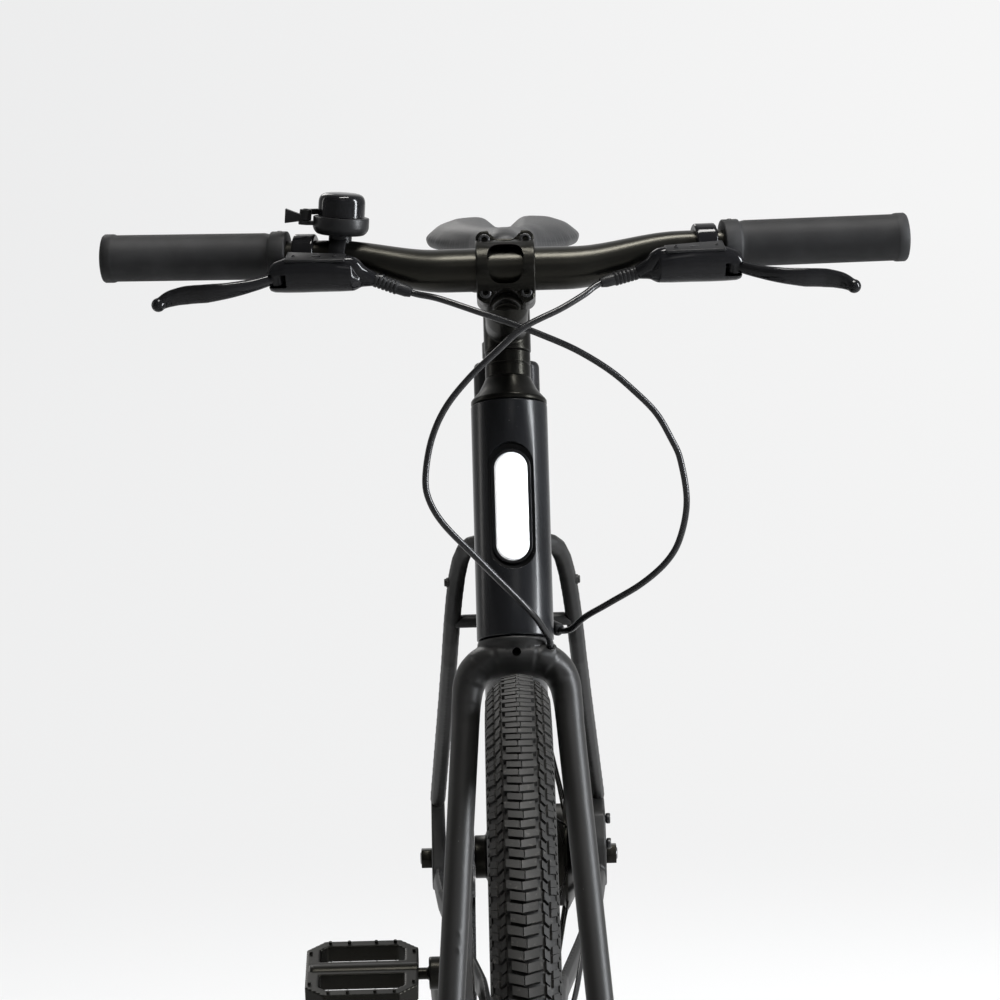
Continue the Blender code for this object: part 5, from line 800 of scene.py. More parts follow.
# Headset cover, spacer, stem and faceplate
def make_headset():
    cover = lathe([
        (0.0146, 0.5603), (0.0272, 0.5603), (0.0276, 0.5605), (0.0283, 0.5611), (0.0283, 0.5633),
        (0.0276, 0.5645), (0.0220, 0.5708), (0.0185, 0.5775), (0.0174, 0.5800), (0.0170, 0.5807),
        (0.0146, 0.5807),
    ], 96, closed=True)
    piece(placed(cover, STEERING), "headset_cone", "black_anodised", "steering", "headset_cover")
    middle = (SPACER_BASE + STEM_BASE - GAP) / 2
    spacer = lathe([
        (0.0146, SPACER_BASE), (0.0166, SPACER_BASE), (0.0170, SPACER_BASE + 0.0005),
        (0.0170, middle - 0.0009), (0.0164, middle - 0.0003), (0.0164, middle + 0.0003),
        (0.0170, middle + 0.0009), (0.0170, STEM_BASE - 0.0008), (0.0166, STEM_BASE - GAP),
        (0.0146, STEM_BASE - GAP),
    ], 96, closed=True)
    piece(placed(spacer, STEERING), "steerer_spacers", "black_anodised", "steering", "stem_spacer")
    cap = lathe([
        (0, 0.6411), (0.0045, 0.6411), (0.0047, 0.6436), (0.0062, 0.6446), (0.0150, 0.6450),
        (0.0164, 0.6446), (0.0168, 0.6438), (0.0168, 0.6409), (0.0160, 0.6408), (0, 0.6408),
    ], 96)
    piece(placed(cap, STEERING), "steerer_cap", "black_anodised", "steering", "stem_cap")


def clamp_form(front):
    """The barrel and ears of the bar clamp: the stem's half behind the bar, or the plate before it."""
    barrel = wheel(both_ways([(0.0213, -0.0215), (0.0221, -0.0207)]), 96)
    depth = 0.0095 if front else 0.0158
    ears = block((0.043, 2 * depth, 0.055), (0, 0, 0), 0.0024, 4)
    form = fitted(welded(barrel, ears), rounded_prism(0.0442, 0.055, 0.0085), operation="INTERSECT")
    way = 1 if front else -1
    split = block((0.10, 0.10, 0.10), (0, way * (0.05 + (GAP if front else 0)), 0))
    bore = drum(BAR_BORE, -0.05, 0.05)
    rise = 0.0300 if front else 0.0345
    arches = [rod(0.0125, (0, -0.03, z), (0, 0.03 if front else 0.0140, z), 64) for z in (-rise, rise)]
    return fitted(form, split, bore, *arches)


def rounded_prism(width, height, corner):
    """A bar of rounded oblong section along Y, for trimming the clamp's outline."""
    form = block((width, 0.08, height))
    edit(form)
    mesh = bmesh.from_edit_mesh(form.data)
    for line in mesh.edges:
        line.select_set(abs(line.verts[0].co.y - line.verts[1].co.y) > 0.01)
    bmesh.update_edit_mesh(form.data)
    bpy.ops.mesh.bevel(offset=corner, segments=8, affect="EDGES")
    return tidied(form)


def make_stem():
    middle = (STEM_BASE + STEM_TOP) / 2
    tower = lathe([
        (0, STEM_BASE), (0.0168, STEM_BASE), (0.0176, STEM_BASE + 0.0010),
        (0.0176, STEM_TOP - 0.0010), (0.0168, STEM_TOP), (0, STEM_TOP),
    ], 96)
    arm = drawn([
        (0, -0.004, middle, 0.0158, 0.0180), (0, -0.018, middle + 0.0010, 0.0158, 0.0170),
        (0, -0.030, middle + 0.0030, 0.0160, 0.0165), (0, -0.043, middle + 0.0085, 0.0170, 0.0172),
        (0, -0.055, BAR_HEIGHT - 0.0040, 0.0185, 0.0185), (0, -0.065, BAR_HEIGHT - 0.0010, 0.0198, 0.0208),
        (0, -0.074, BAR_HEIGHT, 0.0205, 0.0225),
    ], "Y", 64)
    stem = welded(tower, arm)
    rear = placed(clamp_form(False), CLAMP)
    bore = placed(drum(BAR_BORE, -0.05, 0.05), CLAMP)
    split = block((0.1, 0.1, 0.1), (0, -0.138, BAR_HEIGHT))
    stem = cast(joined(fitted(stem, bore, split), rear), 0.0007, 3)
    slit = block((0.0016, 0.030, 0.06), (0, 0.018, middle))
    stem = placed(fitted(stem, slit), STEERING)
    piece(stem, "stem_casting", "black_anodised", "steering", "stem", sharp=50)
    bolts("stem_pinch_bolts", "steering", 0.0036, 0.0030, *[
        STEERING @ shifted(0.0115, 0.0150, height) @ turned(pi / 2, "Y")
        for height in (middle - 0.011, middle + 0.011)])


def make_faceplate():
    """The plate before the bar, with its window and four screws."""
    plate = clamp_form(True)
    half_width, half_height = 0.0120, 0.01375
    window = drawn([(0, y, 0.0, half_width, half_height) for y in (-0.03, 0.0)], "Y", 64)

    def square_off(vert):
        angle = atan2(vert.co.z / half_height, vert.co.x / half_width)
        across = (abs(cos(angle)) ** 0.6) * (1 if cos(angle) >= 0 else -1)
        rise = (abs(sin(angle)) ** 0.6) * (1 if sin(angle) >= 0 else -1)
        vert.co.x = across * (0.0134 + 0.0014 * min(rise, 0.0))
        vert.co.z = rise * 0.0148

    window = tidied(reshaped(window, square_off))
    plate = eased(fitted(plate, window), 0.0009, 4, 30)
    piece(placed(plate, STEERING @ CLAMP), "stem_plate", "black_anodised", "steering", "stem_faceplate",
          sharp=40)
    bolts("stem_plate_screws", "steering", 0.0042, 0.0026, *[
        STEERING @ shifted(x, -BAR_REACH - 0.0090, BAR_HEIGHT + z) @ turned(pi / 2, "X")
        for x in (-0.015, 0.015) for z in (-0.020, 0.020)])


make_headset()
make_stem()
make_faceplate()


# Bar, grips and levers
def bar_point(x):
    """The bar's centre line, which rises and sweeps back on either side of the clamp."""
    straight, end, ease = 0.048, 0.128, 0.006
    bend = max(0.0, abs(x) - straight)
    back = tan(BAR_SWEEP) * (sqrt(bend ** 2 + ease ** 2) - ease)
    return Vector((x, back, 0.0128 * smooth_step(straight, end, abs(x))))


def make_bar():
    places = [x * 0.0098 for x in range(-30, 31)]
    places[0], places[-1] = -0.2938, 0.2938
    thick = 0.0159
    radii = [thick - 0.0048 * smooth_step(0.040, 0.128, abs(x)) for x in places]
    bar = bent([bar_point(x) for x in places], thick, 48, 2, [r / thick for r in radii])
    piece(placed(bar, BAR), "bar_tube", "bar_black", "steering", "handlebar")


def along_bar(side, start):
    """A frame on the bar whose Z runs outwards along it."""
    outward = Vector((side * cos(BAR_SWEEP), sin(BAR_SWEEP), 0))
    turn = outward.to_track_quat("Z", "Y").to_matrix().to_4x4()
    return BAR @ Matrix.Translation(bar_point(side * start)) @ turn


def make_grip(side, label):
    length = 0.137 / cos(BAR_SWEEP)
    place = along_bar(side, 0.1595)
    grip = lathe([
        (0, length - 0.0022), (0.0114, length - 0.0022), (0.0114, 0), (0.0176, 0), (0.0181, 0.0004),
        (0.0182, 0.0012), (0.0182, 0.0112), (0.0179, 0.0119), (0.0168, 0.0124), (0.0164, 0.0136),
        (0.0171, 0.0170), (0.0172, length - 0.0098), (0.0178, length - 0.0086),
        (0.0180, length - 0.0070), (0.0180, length - 0.0016), (0.0172, length - 0.0004),
        (0.0158, length), (0, length),
    ], 72)
    piece(placed(grip, place), "grip_sleeve_" + label, "grip_rubber", "steering", "grip_" + label,
          sharp=50)
    bolts("grip_clamp_screw_" + label, "steering", 0.0021, 0.0010,
          place @ shifted(0, 0.0176, 0.0058) @ turned(-pi / 2, "X"))


def lever_axes(side):
    """Along the bar, forwards along the lever and square to both."""
    along = Vector((side * cos(BAR_SWEEP), sin(BAR_SWEEP), 0))
    level = Vector((side * sin(BAR_SWEEP), -cos(BAR_SWEEP), 0))
    up = Vector((0, 0, 1))
    forward = level * cos(LEVER_TILT) - up * sin(LEVER_TILT)
    square = level * sin(LEVER_TILT) + up * cos(LEVER_TILT)
    return Matrix((along, forward, square)).transposed().to_4x4()


def lever_place(side):
    return BAR @ Matrix.Translation(bar_point(side * 0.1465)) @ lever_axes(side)


LEVER_PIN = (0.0165, 0.0300)


def make_lever_body(side, label):
    """The lever's cylinder and clamp, with its cover, reach screw and hose boot."""
    body = drawn([
        (-0.0620, 0.0220, -0.0100, 0.0042, 0.0042), (-0.0530, 0.0236, -0.0091, 0.0047, 0.0047),
        (-0.0450, 0.0250, -0.0080, 0.0056, 0.0056), (-0.0420, 0.0258, -0.0060, 0.0078, 0.0090),
        (-0.0395, 0.0265, -0.0040, 0.0094, 0.0118), (-0.0300, 0.0268, -0.0030, 0.0105, 0.0130),
        (-0.0150, 0.0270, -0.0020, 0.0112, 0.0140), (-0.0020, 0.0280, -0.0020, 0.0109, 0.0139),
        (0.0090, 0.0290, -0.0020, 0.0102, 0.0135), (0.0180, 0.0298, -0.0031, 0.0099, 0.0116),
        (0.0215, 0.0300, -0.0035, 0.0088, 0.0098),
    ], "X", 48)
    clamp = wheel(both_ways([(0.0152, -0.0080), (0.0160, -0.0072)]), 64)
    neck = block((0.015, 0.020, 0.016), (0, 0.017, 0), 0.002, 3)
    hinge = block((0.012, 0.009, 0.011), (0, -0.0175, 0), 0.0018, 3)
    body = cast(joined(body, clamp, neck, hinge), 0.0008, 4)
    slot_cut = block((0.040, 0.050, 0.0106), (0.0282, 0.0464, -0.0030))
    bore = drum(0.0114, -0.02, 0.02, 64)
    seam = block((0.014, 0.012, 0.0008), (0, -0.0185, 0))
    hose = rod(0.0028, (-0.070, 0.0220, -0.0100), (-0.0560, 0.0220, -0.0100), 24)
    body = fitted(body, slot_cut, bore, seam, hose)
    body = joined(body, peg(0.0025, *LEVER_PIN, -0.0113, 0.0053, 24))
    place = lever_place(side)
    piece(placed(body, place), "lever_housing_" + label, "gloss_black", "steering",
          "brake_body_" + label, sharp=40)
    middle = 0.0268

    def droop(vert):
        if vert.co.x < -0.02:
            vert.co.y = middle + (vert.co.y - middle) * 0.72
            vert.co.z -= 0.0012

    lid = block((0.0440, 0.0150, 0.0024), (-0.0130, middle, 0.0112))
    lid = eased(reshaped(lid, droop), 0.0009, 3)
    screws = [socket_bolt(0.0016, 0.0007, shifted(x, middle, 0.0120)) for x in (-0.0270, 0.0035)]
    piece(placed(joined(lid, *screws), place), "reservoir_lid_" + label, "black_plastic", "steering")
    start = place @ Vector((-0.0540, 0.0225, -0.0095))
    end = STEERING @ Vector(FRONT_ROUTE[0]) if side > 0 else Vector(REAR_ROUTE[0])
    reach = (end - start).length
    boot = [(0.0030, 0), (0.0050, 0.0004)]
    for index in range(6):
        low = 0.0014 + index * 0.0030
        boot += [(0.0053, low), (0.0053, low + 0.0014), (0.0046, low + 0.0020), (0.0046, low + 0.0026)]
    boot += [(0.0044, reach - 0.004), (0.0034, reach), (0.0026, reach)]
    boot = placed(lathe(boot, 40, closed=True), aimed(start, end))
    piece(boot, "hose_boot_" + label, "black_plastic", "steering", sharp=50)
    elbow = bent([place @ Vector(point) for point in (
        (-0.0300, 0.0262, 0.0050), (-0.0385, 0.0255, 0.0040), (-0.0450, 0.0245, -0.0030),
        (-0.0530, 0.0232, -0.0088))], 0.0058, 24, 8, [1.1, 1.05, 1.0, 0.92])
    piece(elbow, "hose_elbow_" + label, "gloss_black", "steering")
    bolts("lever_clamp_screw_" + label, "steering", 0.0030, 0.0022, place @ shifted(0.0030, -0.0175, 0.0053))


def make_lever_blade(side, label):
    """The blade, from rows of its place, its half height and its half thickness."""
    rows = [(0.0165, 0.0300, 0.0, 0.0044, 0.0046), (0.0330, 0.0440, 0.0, 0.0050, 0.0042),
            (0.0480, 0.0525, 0.0002, 0.0062, 0.0037), (0.0640, 0.0555, -0.0006, 0.0074, 0.0034),
            (0.0800, 0.0550, -0.0020, 0.0074, 0.0033), (0.0920, 0.0570, -0.0040, 0.0064, 0.0035),
            (0.0995, 0.0612, -0.0066, 0.0046, 0.0038)]
    line = [Vector((*row[:2], 0)) for row in rows]
    blade = bent([row[:3] for row in rows], 0.0060, 32, 8, [row[3] / 0.0060 for row in rows])

    def flatten(vert):
        flat = Vector((vert.co.x, vert.co.y, 0))
        best = None
        for a, b, first, last in zip(line, line[1:], rows, rows[1:]):
            share = min(max((flat - a).dot(b - a) / (b - a).length_squared, 0), 1)
            foot = a.lerp(b, share)
            ratio = (first[4] / first[3]) * (1 - share) + (last[4] / last[3]) * share
            if best is None or (flat - foot).length < best[0]:
                best = ((flat - foot).length, foot, ratio)
        vert.co.x = best[1].x + (flat.x - best[1].x) * best[2]
        vert.co.y = best[1].y + (flat.y - best[1].y) * best[2]

    reshaped(blade, flatten)
    boss = peg(0.0068, *LEVER_PIN, -0.0048, 0.0048, 48)
    bpy.ops.object.select_all(action="DESELECT")
    bpy.ops.mesh.primitive_uv_sphere_add(segments=32, ring_count=16, radius=0.0052, location=rows[-1][:3])
    tip = bpy.context.object
    bpy.ops.object.transform_apply(location=True)
    blade = cast(joined(blade, boss, tip), 0.0006, 5)
    blade = fitted(blade, peg(0.0028, *LEVER_PIN, -0.02, 0.02, 24))
    place = lever_place(side) @ shifted(0, 0, -0.0030)
    body = "brake_lever_" + label
    piece(placed(blade, place), "lever_blade_" + label, "gloss_black", body, body, sharp=50)


make_bar()
for hand, hand_name in ((1, "left"), (-1, "right")):
    make_grip(hand, hand_name)
    make_lever_body(hand, hand_name)
    make_lever_blade(hand, hand_name)


# Bell
def make_bell():
    """A cup and dome on a band round the bar, and the thumb tab that strikes them."""
    tilt = radians(4.5)
    pivot = -0.0262
    place = BAR @ Matrix.Translation(bar_point(-0.1215)) @ turned(tilt, "Y")
    band = wheel(both_ways([(0.0120, -0.0060), (0.0143, -0.0058), (0.0148, -0.0050)]), 64, closed=True)
    along = (bar_point(-0.1155) - bar_point(-0.1275)).to_track_quat("X", "Z").to_matrix().to_4x4()
    placed(band, turned(-tilt, "Y") @ along)
    cup = lathe([
        (0, 0.0100), (0.0085, 0.0100), (0.0085, 0.0152), (0.0150, 0.0152), (0.0172, 0.0158),
        (0.0188, 0.0172), (0.0200, 0.0190), (0.0205, 0.0206), (0.0206, 0.0215), (0.0206, 0.0278),
        (0.0203, 0.0283), (0.0197, 0.0285), (0.0188, 0.0285), (0.0184, 0.0281), (0, 0.0281),
    ], 96)
    lug = peg(0.0050, pivot, 0, 0.0215, 0.0245, 40)
    web = block((0.010, 0.008, 0.0030), (-0.0212, 0, 0.0230), 0.0006)
    pin = peg(0.0018, pivot, 0, 0.0225, 0.0332)
    post = peg(0.0035, 0, 0, 0.0275, 0.0436)
    base = placed(joined(band, cup, lug, web, pin, post), place)
    piece(base, "bell_cup", "black_plastic", "steering", "bell_base", sharp=40)
    dome = lathe([
        (0.0, 0.0452), (0.0090, 0.0449), (0.0134, 0.0434), (0.0154, 0.0400), (0.0155, 0.0289),
        (0.0172, 0.0289), (0.0172, 0.0385), (0.0171, 0.0401), (0.0168, 0.0416), (0.0162, 0.0430),
        (0.0153, 0.0442), (0.0141, 0.0450), (0.0125, 0.0456), (0.0103, 0.0460), (0.0072, 0.0463),
        (0.0036, 0.0465), (0.0, 0.0466),
    ], 96)
    piece(placed(dome, place), "bell_shell", "gloss_black", "steering", "bell_dome", sharp=50)
    boss = peg(0.0044, pivot, 0, 0.0248, 0.0327, 40)
    level = 0.0265
    tab = block((0.0150, 0.0062, 0.0052), (-0.0337, 0, level))
    edit(tab)
    bpy.ops.mesh.select_all(action="SELECT")
    bpy.ops.mesh.subdivide(number_cuts=3)

    def flare(vert):
        out = min(max((-0.0300 - vert.co.x) / 0.0112, 0), 1)
        vert.co.y *= 1 + 0.30 * out
        vert.co.z = level + 0.0008 * out + (vert.co.z - level) * (1 + 1.05 * out)

    reshaped(tab, flare)
    arm = block((0.0149, 0.0030, 0.0042), (0.0074, 0, 0), 0.0004)
    arm = placed(arm, shifted(pivot, 0, 0.0309) @ turned(atan2(0.0112, 0.0098), "Z"))
    striker = cast(joined(boss, tab, arm), 0.00035, 3)
    striker = fitted(striker, peg(0.0021, pivot, 0, 0.0190, 0.0400))
    piece(placed(striker, place), "bell_thumb_tab", "black_plastic", "bell_striker", "bell_striker", sharp=40)


make_bell()


# Brake hoses, and the sleeves that they enter
def grommet(port, name):
    """A rubber sleeve round a hose where it goes into the frame."""
    tip, inward = port
    radius = 0.0049
    sleeve = lathe([
        (HOSE + 0.0001, 0.0002), (radius - 0.0012, 0.0), (radius - 0.0003, 0.0008), (radius, 0.0022),
        (radius, 0.0120), (HOSE + 0.0001, 0.0120),
    ], 40, closed=True)
    piece(placed(sleeve, aimed(tip, tip + inward)), name, "black_plastic", "frame", sharp=50)


def evenly(line):
    """The same line with its points at even steps."""
    total = sum((b - a).length for a, b in zip(line, line[1:]))
    count = max(4, round(total / HOSE_STEP))
    result, index, gone = [line[0]], 0, 0.0
    for number in range(1, count):
        goal = total * number / count
        while gone + (line[index + 1] - line[index]).length < goal:
            gone += (line[index + 1] - line[index]).length
            index += 1
        part = (goal - gone) / (line[index + 1] - line[index]).length
        result.append(line[index].lerp(line[index + 1], part))
    return [*result, line[-1]]


def hose_line(points):
    """A smooth line through a hose's points, eased where it would bend tighter than the hose can."""
    points = [Vector(point) for point in points]
    knots = [points[0] * 2 - points[1], *points, points[-1] * 2 - points[-2]]
    steps, line = 6, []
    for a, b, c, d in zip(knots, knots[1:], knots[2:], knots[3:]):
        for step in range(steps):
            s = step / steps
            line.append(0.5 * (2 * b + (c - a) * s + (2 * a - 5 * b + 4 * c - d) * s ** 2
                               + (3 * b - a - 3 * c + d) * s ** 3))
    line = evenly([*line, points[-1]])
    for _ in range(400):
        step = (line[1] - line[0]).length
        bends = [(a + c) / 2 - b for a, b, c in zip(line, line[1:], line[2:])]
        tight = [index + 1 for index, bend in enumerate(bends) if 2 * bend.length * LEAST_BEND > step ** 2]
        tight = [index for index in tight if 3 <= index <= len(line) - 5]
        if not tight:
            break
        for index in tight:
            line[index] = line[index] + bends[index - 1] * 0.6
    return evenly(line)


def loose_hose(points, name, node, place):
    """A brake hose from its lever to where it enters the bicycle."""
    line = hose_line(points)
    hose = placed(bent(line, HOSE, 20, 1), place)
    path = [place @ point for point in line]
    finished(hose, name, "hose_cover", node, sharp=60)
    length = sum((b - a).length for a, b in zip(path, path[1:]))
    return hose


def lever_end(side):
    return lever_place(side) @ Vector((-0.0563, 0.0220, -0.0100))


def led_in(port, depth=0.0085):
    """The last points of a hose, just before a port, at it and inside it."""
    tip, inward = port
    return [tip - inward * 0.009, tip, tip + inward * depth]


def make_hoses():
    start = STEERING.inverted() @ lever_end(1)
    hose = loose_hose([start, *FRONT_ROUTE, *led_in(CROWN_PORT)], "front_hose_run", "front_brake_hose",
                      STEERING)
    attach(hose, "steering")
    start = lever_end(-1)
    hose = loose_hose([start, *REAR_ROUTE, *led_in(HEAD_PORT)], "rear_hose_loop", "rear_brake_hose",
                      Matrix())
    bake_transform(hose)
    middle = [BOTTOM_BRACKET + Vector(point) for point in STAY_ROUTE]
    points = [*reversed(led_in(STAY_PORT)), *middle, *led_in(CALIPER_PORT, 0.0055)]
    piece(bent(hose_line(points), HOSE, 20, 1), "stay_hose_run", "hose_cover", "frame", "rear_hose_stay",
          sharp=60)
    grommet(HEAD_PORT, "down_tube_hose_guide")
    grommet(STAY_PORT, "chain_stay_hose_guide")


make_hoses()


# Wheels: tyres with their tread, rims, hubs, spokes and discs
def tread_block(size, centre, turn, shear, taper):
    """One tread block: a little cube drawn in at its top, slanted and set on the tyre's crown."""
    def slant(vert):
        share = taper if vert.co.z > 0 else 1.0
        x = vert.co.x
        vert.co.x *= share
        vert.co.y = vert.co.y * share + shear * x

    return placed(reshaped(block(size), slant), Matrix.Translation(centre) @ turned(turn, "Y"))


def make_tread_row(shift, flip):
    """One row across the tyre's crown, drawn at the wheel's top: a worn chevron and its side knobs."""
    blocks = []
    for side in (-1, 1):
        for size, centre, turn, shear, taper in (
            ((0.0108, 0.0068, 0.0034), (shift + side * 0.0050, 0, 0.3419), 0.20, 0.30, 0.93),
            ((0.0040, 0.0070, 0.0028), (side * 0.0138 + shift * 0.4, 0.0012, 0.3376), 0.60, -0.60, 0.90),
            ((0.0070, 0.0062, 0.0032), (side * 0.0186, flip * 0.0012, 0.3323), 0.90, 0.50, 0.90),
            ((0.0040, 0.0056, 0.0018), (side * 0.0217, -0.0016, 0.3270), 1.15, -0.30, 0.90),
        ):
            blocks.append(tread_block(size, centre, side * turn, side * shear, taper))
    return joined(*blocks)


def make_tyre(place, body, name, node):
    half = [(0.2911, 0.0112), (0.2978, 0.0112), (0.3000, 0.0136), (0.3040, 0.0180), (0.3090, 0.0215),
            (0.3140, 0.0232), (0.3178, 0.02362), (0.3222, 0.0232), (0.3275, 0.0216), (0.3325, 0.0187),
            (0.3366, 0.0148), (0.3395, 0.0102), (0.3411, 0.0052)]
    outside = both_ways(half, [(0.3416, 0.0)])
    tyre = wheel(outside + [(0.2911, -0.0072), (0.3380, 0.0), (0.2911, 0.0072)], 180, closed=True)
    rows = 124
    first = spun(make_tread_row(-0.0011, 1), rows)
    second = spun(placed(make_tread_row(0.0011, -1), turned(pi / rows, "X")), rows)
    tyre = joined(tyre, first, second)
    worn = tyre.data.attributes.new("worn", "FLOAT", "POINT")
    for index, vert in enumerate(tyre.data.vertices):
        radius = sqrt(vert.co.y ** 2 + vert.co.z ** 2)
        across = abs(vert.co.x)
        top = smooth_step(0.3420, 0.3438, radius)
        side = 0.10 * smooth_step(0.3290, 0.3330, radius) * (1 if across > 0.0115 else 0)
        worn.data[index].value = max(top, side)
    piece(placed(tyre, place), name, "tyre_rubber", body, node, sharp=30)


def make_rim(place, body, name, node):
    rim = wheel(both_ways([
        (0.2966, -0.0140), (0.2970, -0.0136), (0.2970, -0.0120), (0.2966, -0.0115), (0.2906, -0.0115),
    ], [(0.2904, 0.0)]) + both_ways([
        (0.2900, 0.0140), (0.2820, 0.0122), (0.2745, 0.0092), (0.2724, 0.0080), (0.2720, 0.0070),
    ]), 160, closed=True)
    stem = lathe([(0.0034, 0), (0.0034, 0.004), (0.0026, 0.0045), (0.0026, 0.026), (0.0032, 0.0265),
                  (0.0036, 0.040), (0.0024, 0.042), (0, 0.042)], 24)
    stem = placed(stem, place @ turned(radians(174), "X") @ shifted(0, 0, 0.2725) @ turned(pi, "X"))
    piece(placed(rim, place), name, "black_anodised", body, node)
    piece(stem, name + "_valve", "black_plastic", body)


def wheel_spokes(left, right, radius):
    """Eight groups of four spokes, each with its bent head and its nipple."""
    hub_radius = radius - 0.003
    rim_radius = 0.2717
    group = []
    for index in range(4):
        flange_x = left if index % 2 == 0 else right
        sign = 1 if index // 2 == 0 else -1
        start_angle = 2 * pi * index / 32
        end_angle = start_angle + sign * 4 * pi / 32
        side = 1 if flange_x > 0 else -1
        start = Vector((
            flange_x + sign * 0.0014, hub_radius * cos(start_angle), hub_radius * sin(start_angle)))
        end = Vector((side * 0.0030, rim_radius * cos(end_angle), rim_radius * sin(end_angle)))
        ahead = (end - start).normalized()
        group.append(rod(0.0010, start, end, 10))
        group.append(rod(0.0017, end - ahead * 0.011, end, 10, 0.0020))
        head = start - Vector((sign * 0.0034, 0, 0))
        group.append(rod(0.0014, head, start + Vector((sign * 0.0006, 0, 0)), 10))
    return spun(joined(*group), 8)


def make_front_hub():
    shell = wheel([
        (0.0065, -0.0497), (0.0098, -0.0497), (0.0100, -0.0490), (0.0106, -0.0440), (0.0135, -0.0400),
        (0.0150, -0.0372), (0.0215, -0.0353), (0.0225, -0.0348), (0.0225, -0.0322), (0.0215, -0.0318),
        (0.0155, -0.0312), (0.0138, -0.0290), (0.0134, -0.0150), (0.0134, 0.0150), (0.0138, 0.0215),
        (0.0155, 0.0238), (0.0215, 0.0243), (0.0225, 0.0247), (0.0225, 0.0273), (0.0215, 0.0278),
        (0.0195, 0.0380), (0.0195, 0.0384), (0.0169, 0.0384), (0.0169, 0.0421), (0.0160, 0.0425),
        (0.0108, 0.0430), (0.0104, 0.0497), (0.0065, 0.0497),
    ], 96, closed=True)
    hub = joined(shell, wheel_spokes(0.0260, -0.0335, 0.0225))
    piece(placed(hub, FRONT_WHEEL), "front_hub_and_spokes", "black_anodised", "front_wheel", "front_hub")


def make_motor_hub():
    shell = wheel([
        (0.0065, -0.0408), (0.0190, -0.0408), (0.0200, -0.0400), (0.0200, -0.0318), (0.0206, -0.0306),
        (0.0330, -0.0262), (0.0415, -0.0236), (0.0500, -0.0206), (0.0512, -0.0200), (0.0515, -0.0194),
        (0.0515, -0.0172), (0.0509, -0.0168), (0.0483, -0.0166), (0.0475, -0.0156), (0.0475, 0.0400),
        (0.0483, 0.0414), (0.0509, 0.0416), (0.0515, 0.0420), (0.0515, 0.0443), (0.0509, 0.0448),
        (0.0485, 0.0462), (0.0390, 0.0512), (0.0300, 0.0528), (0.0205, 0.0536), (0.0169, 0.0536),
        (0.0169, 0.0566), (0.0160, 0.0570), (0.0102, 0.0580), (0.0065, 0.0580),
    ], 96, closed=True)
    cover_bolt = socket_bolt(0.0024, 0.0012, shifted(-0.0226, 0, 0.0440) @ turned(-pi / 2, "Y"))
    hub = joined(shell, around(cover_bolt, 8, 0.2), wheel_spokes(0.0431, -0.0184, 0.0515))
    piece(placed(hub, REAR_WHEEL), "motor_and_spokes", "black_anodised", "rear_wheel", "motor_hub")


def make_disc(radius, plane, arms, place, body, name, node):
    """A brake disc: a drilled track on curved arms, bolted to the hub."""
    half, inner = 0.0009, radius - 0.0135

    def ring(outside, inside, sides):
        return wheel([(outside, plane - half), (outside, plane + half), (inside, plane + half),
                      (inside, plane - half)], sides, closed=True)

    def swing(vert):
        share = (vert.co.z - 0.0200) / (inner - 0.0200)
        vert.co.y = vert.co.y * (1.25 - 0.25 * share) + 0.016 * share

    track = ring(radius, inner, 120)
    core = ring(0.0236, 0.0178, 96)
    arm = block((2 * half, 0.0085, inner - 0.0190), (plane, 0, (inner + 0.0230) / 2))
    disc = welded(track, around(reshaped(arm, swing), arms), core)
    holes = []
    for height, turn in ((radius - 0.0035, 0.0), (radius - 0.0068, 0.105), (radius - 0.0101, 0.0)):
        hole = rod(0.0014, (plane - 0.005, 0, height), (plane + 0.005, 0, height), 12)
        holes.append(around(placed(hole, turned(turn, "X")), 30))
    disc = eased(fitted(disc, joined(*holes)), 0.00015, 1)
    piece(placed(disc, place), name, "disc_steel", body, node)


for wheel_name, axis_place in (("front", FRONT_WHEEL), ("rear", REAR_WHEEL)):
    make_tyre(axis_place, wheel_name + "_wheel", wheel_name + "_tyre_tread", wheel_name + "_tyre")
    make_rim(axis_place, wheel_name + "_wheel", wheel_name + "_rim_hoop", wheel_name + "_rim")
make_front_hub()
make_motor_hub()
make_disc(0.080, 0.0395, 6, FRONT_WHEEL, "front_wheel", "front_brake_disc", "front_rotor")
make_disc(0.070, 0.0550, 5, REAR_WHEEL, "rear_wheel", "rear_brake_disc", "rear_rotor")


# Brake calipers
def make_calipers():
    recast("front_brake_caliper", "front_caliper_casting", "gloss_black", "steering", 0.0006, 4, 50)
    recast("rear_brake_caliper", "rear_caliper_casting", "gloss_black", "frame", 0.0006, 4, 50)
    bolts("front_caliper_bolts", "steering", 0.0047, 0.0034, *[
        STEERING @ shifted(0.0580, -0.0080, height) @ turned(-pi / 2, "X") for height in (0.048, 0.082)])
    bolts("rear_caliper_bolts", "frame", 0.0049, 0.0033, *[
        REAR_WHEEL @ shifted(0.0812, y, z) @ turned(pi / 2, "Y")
        for y, z in ((-0.0512, 0.0434), (-0.0632, 0.0226))])


make_calipers()


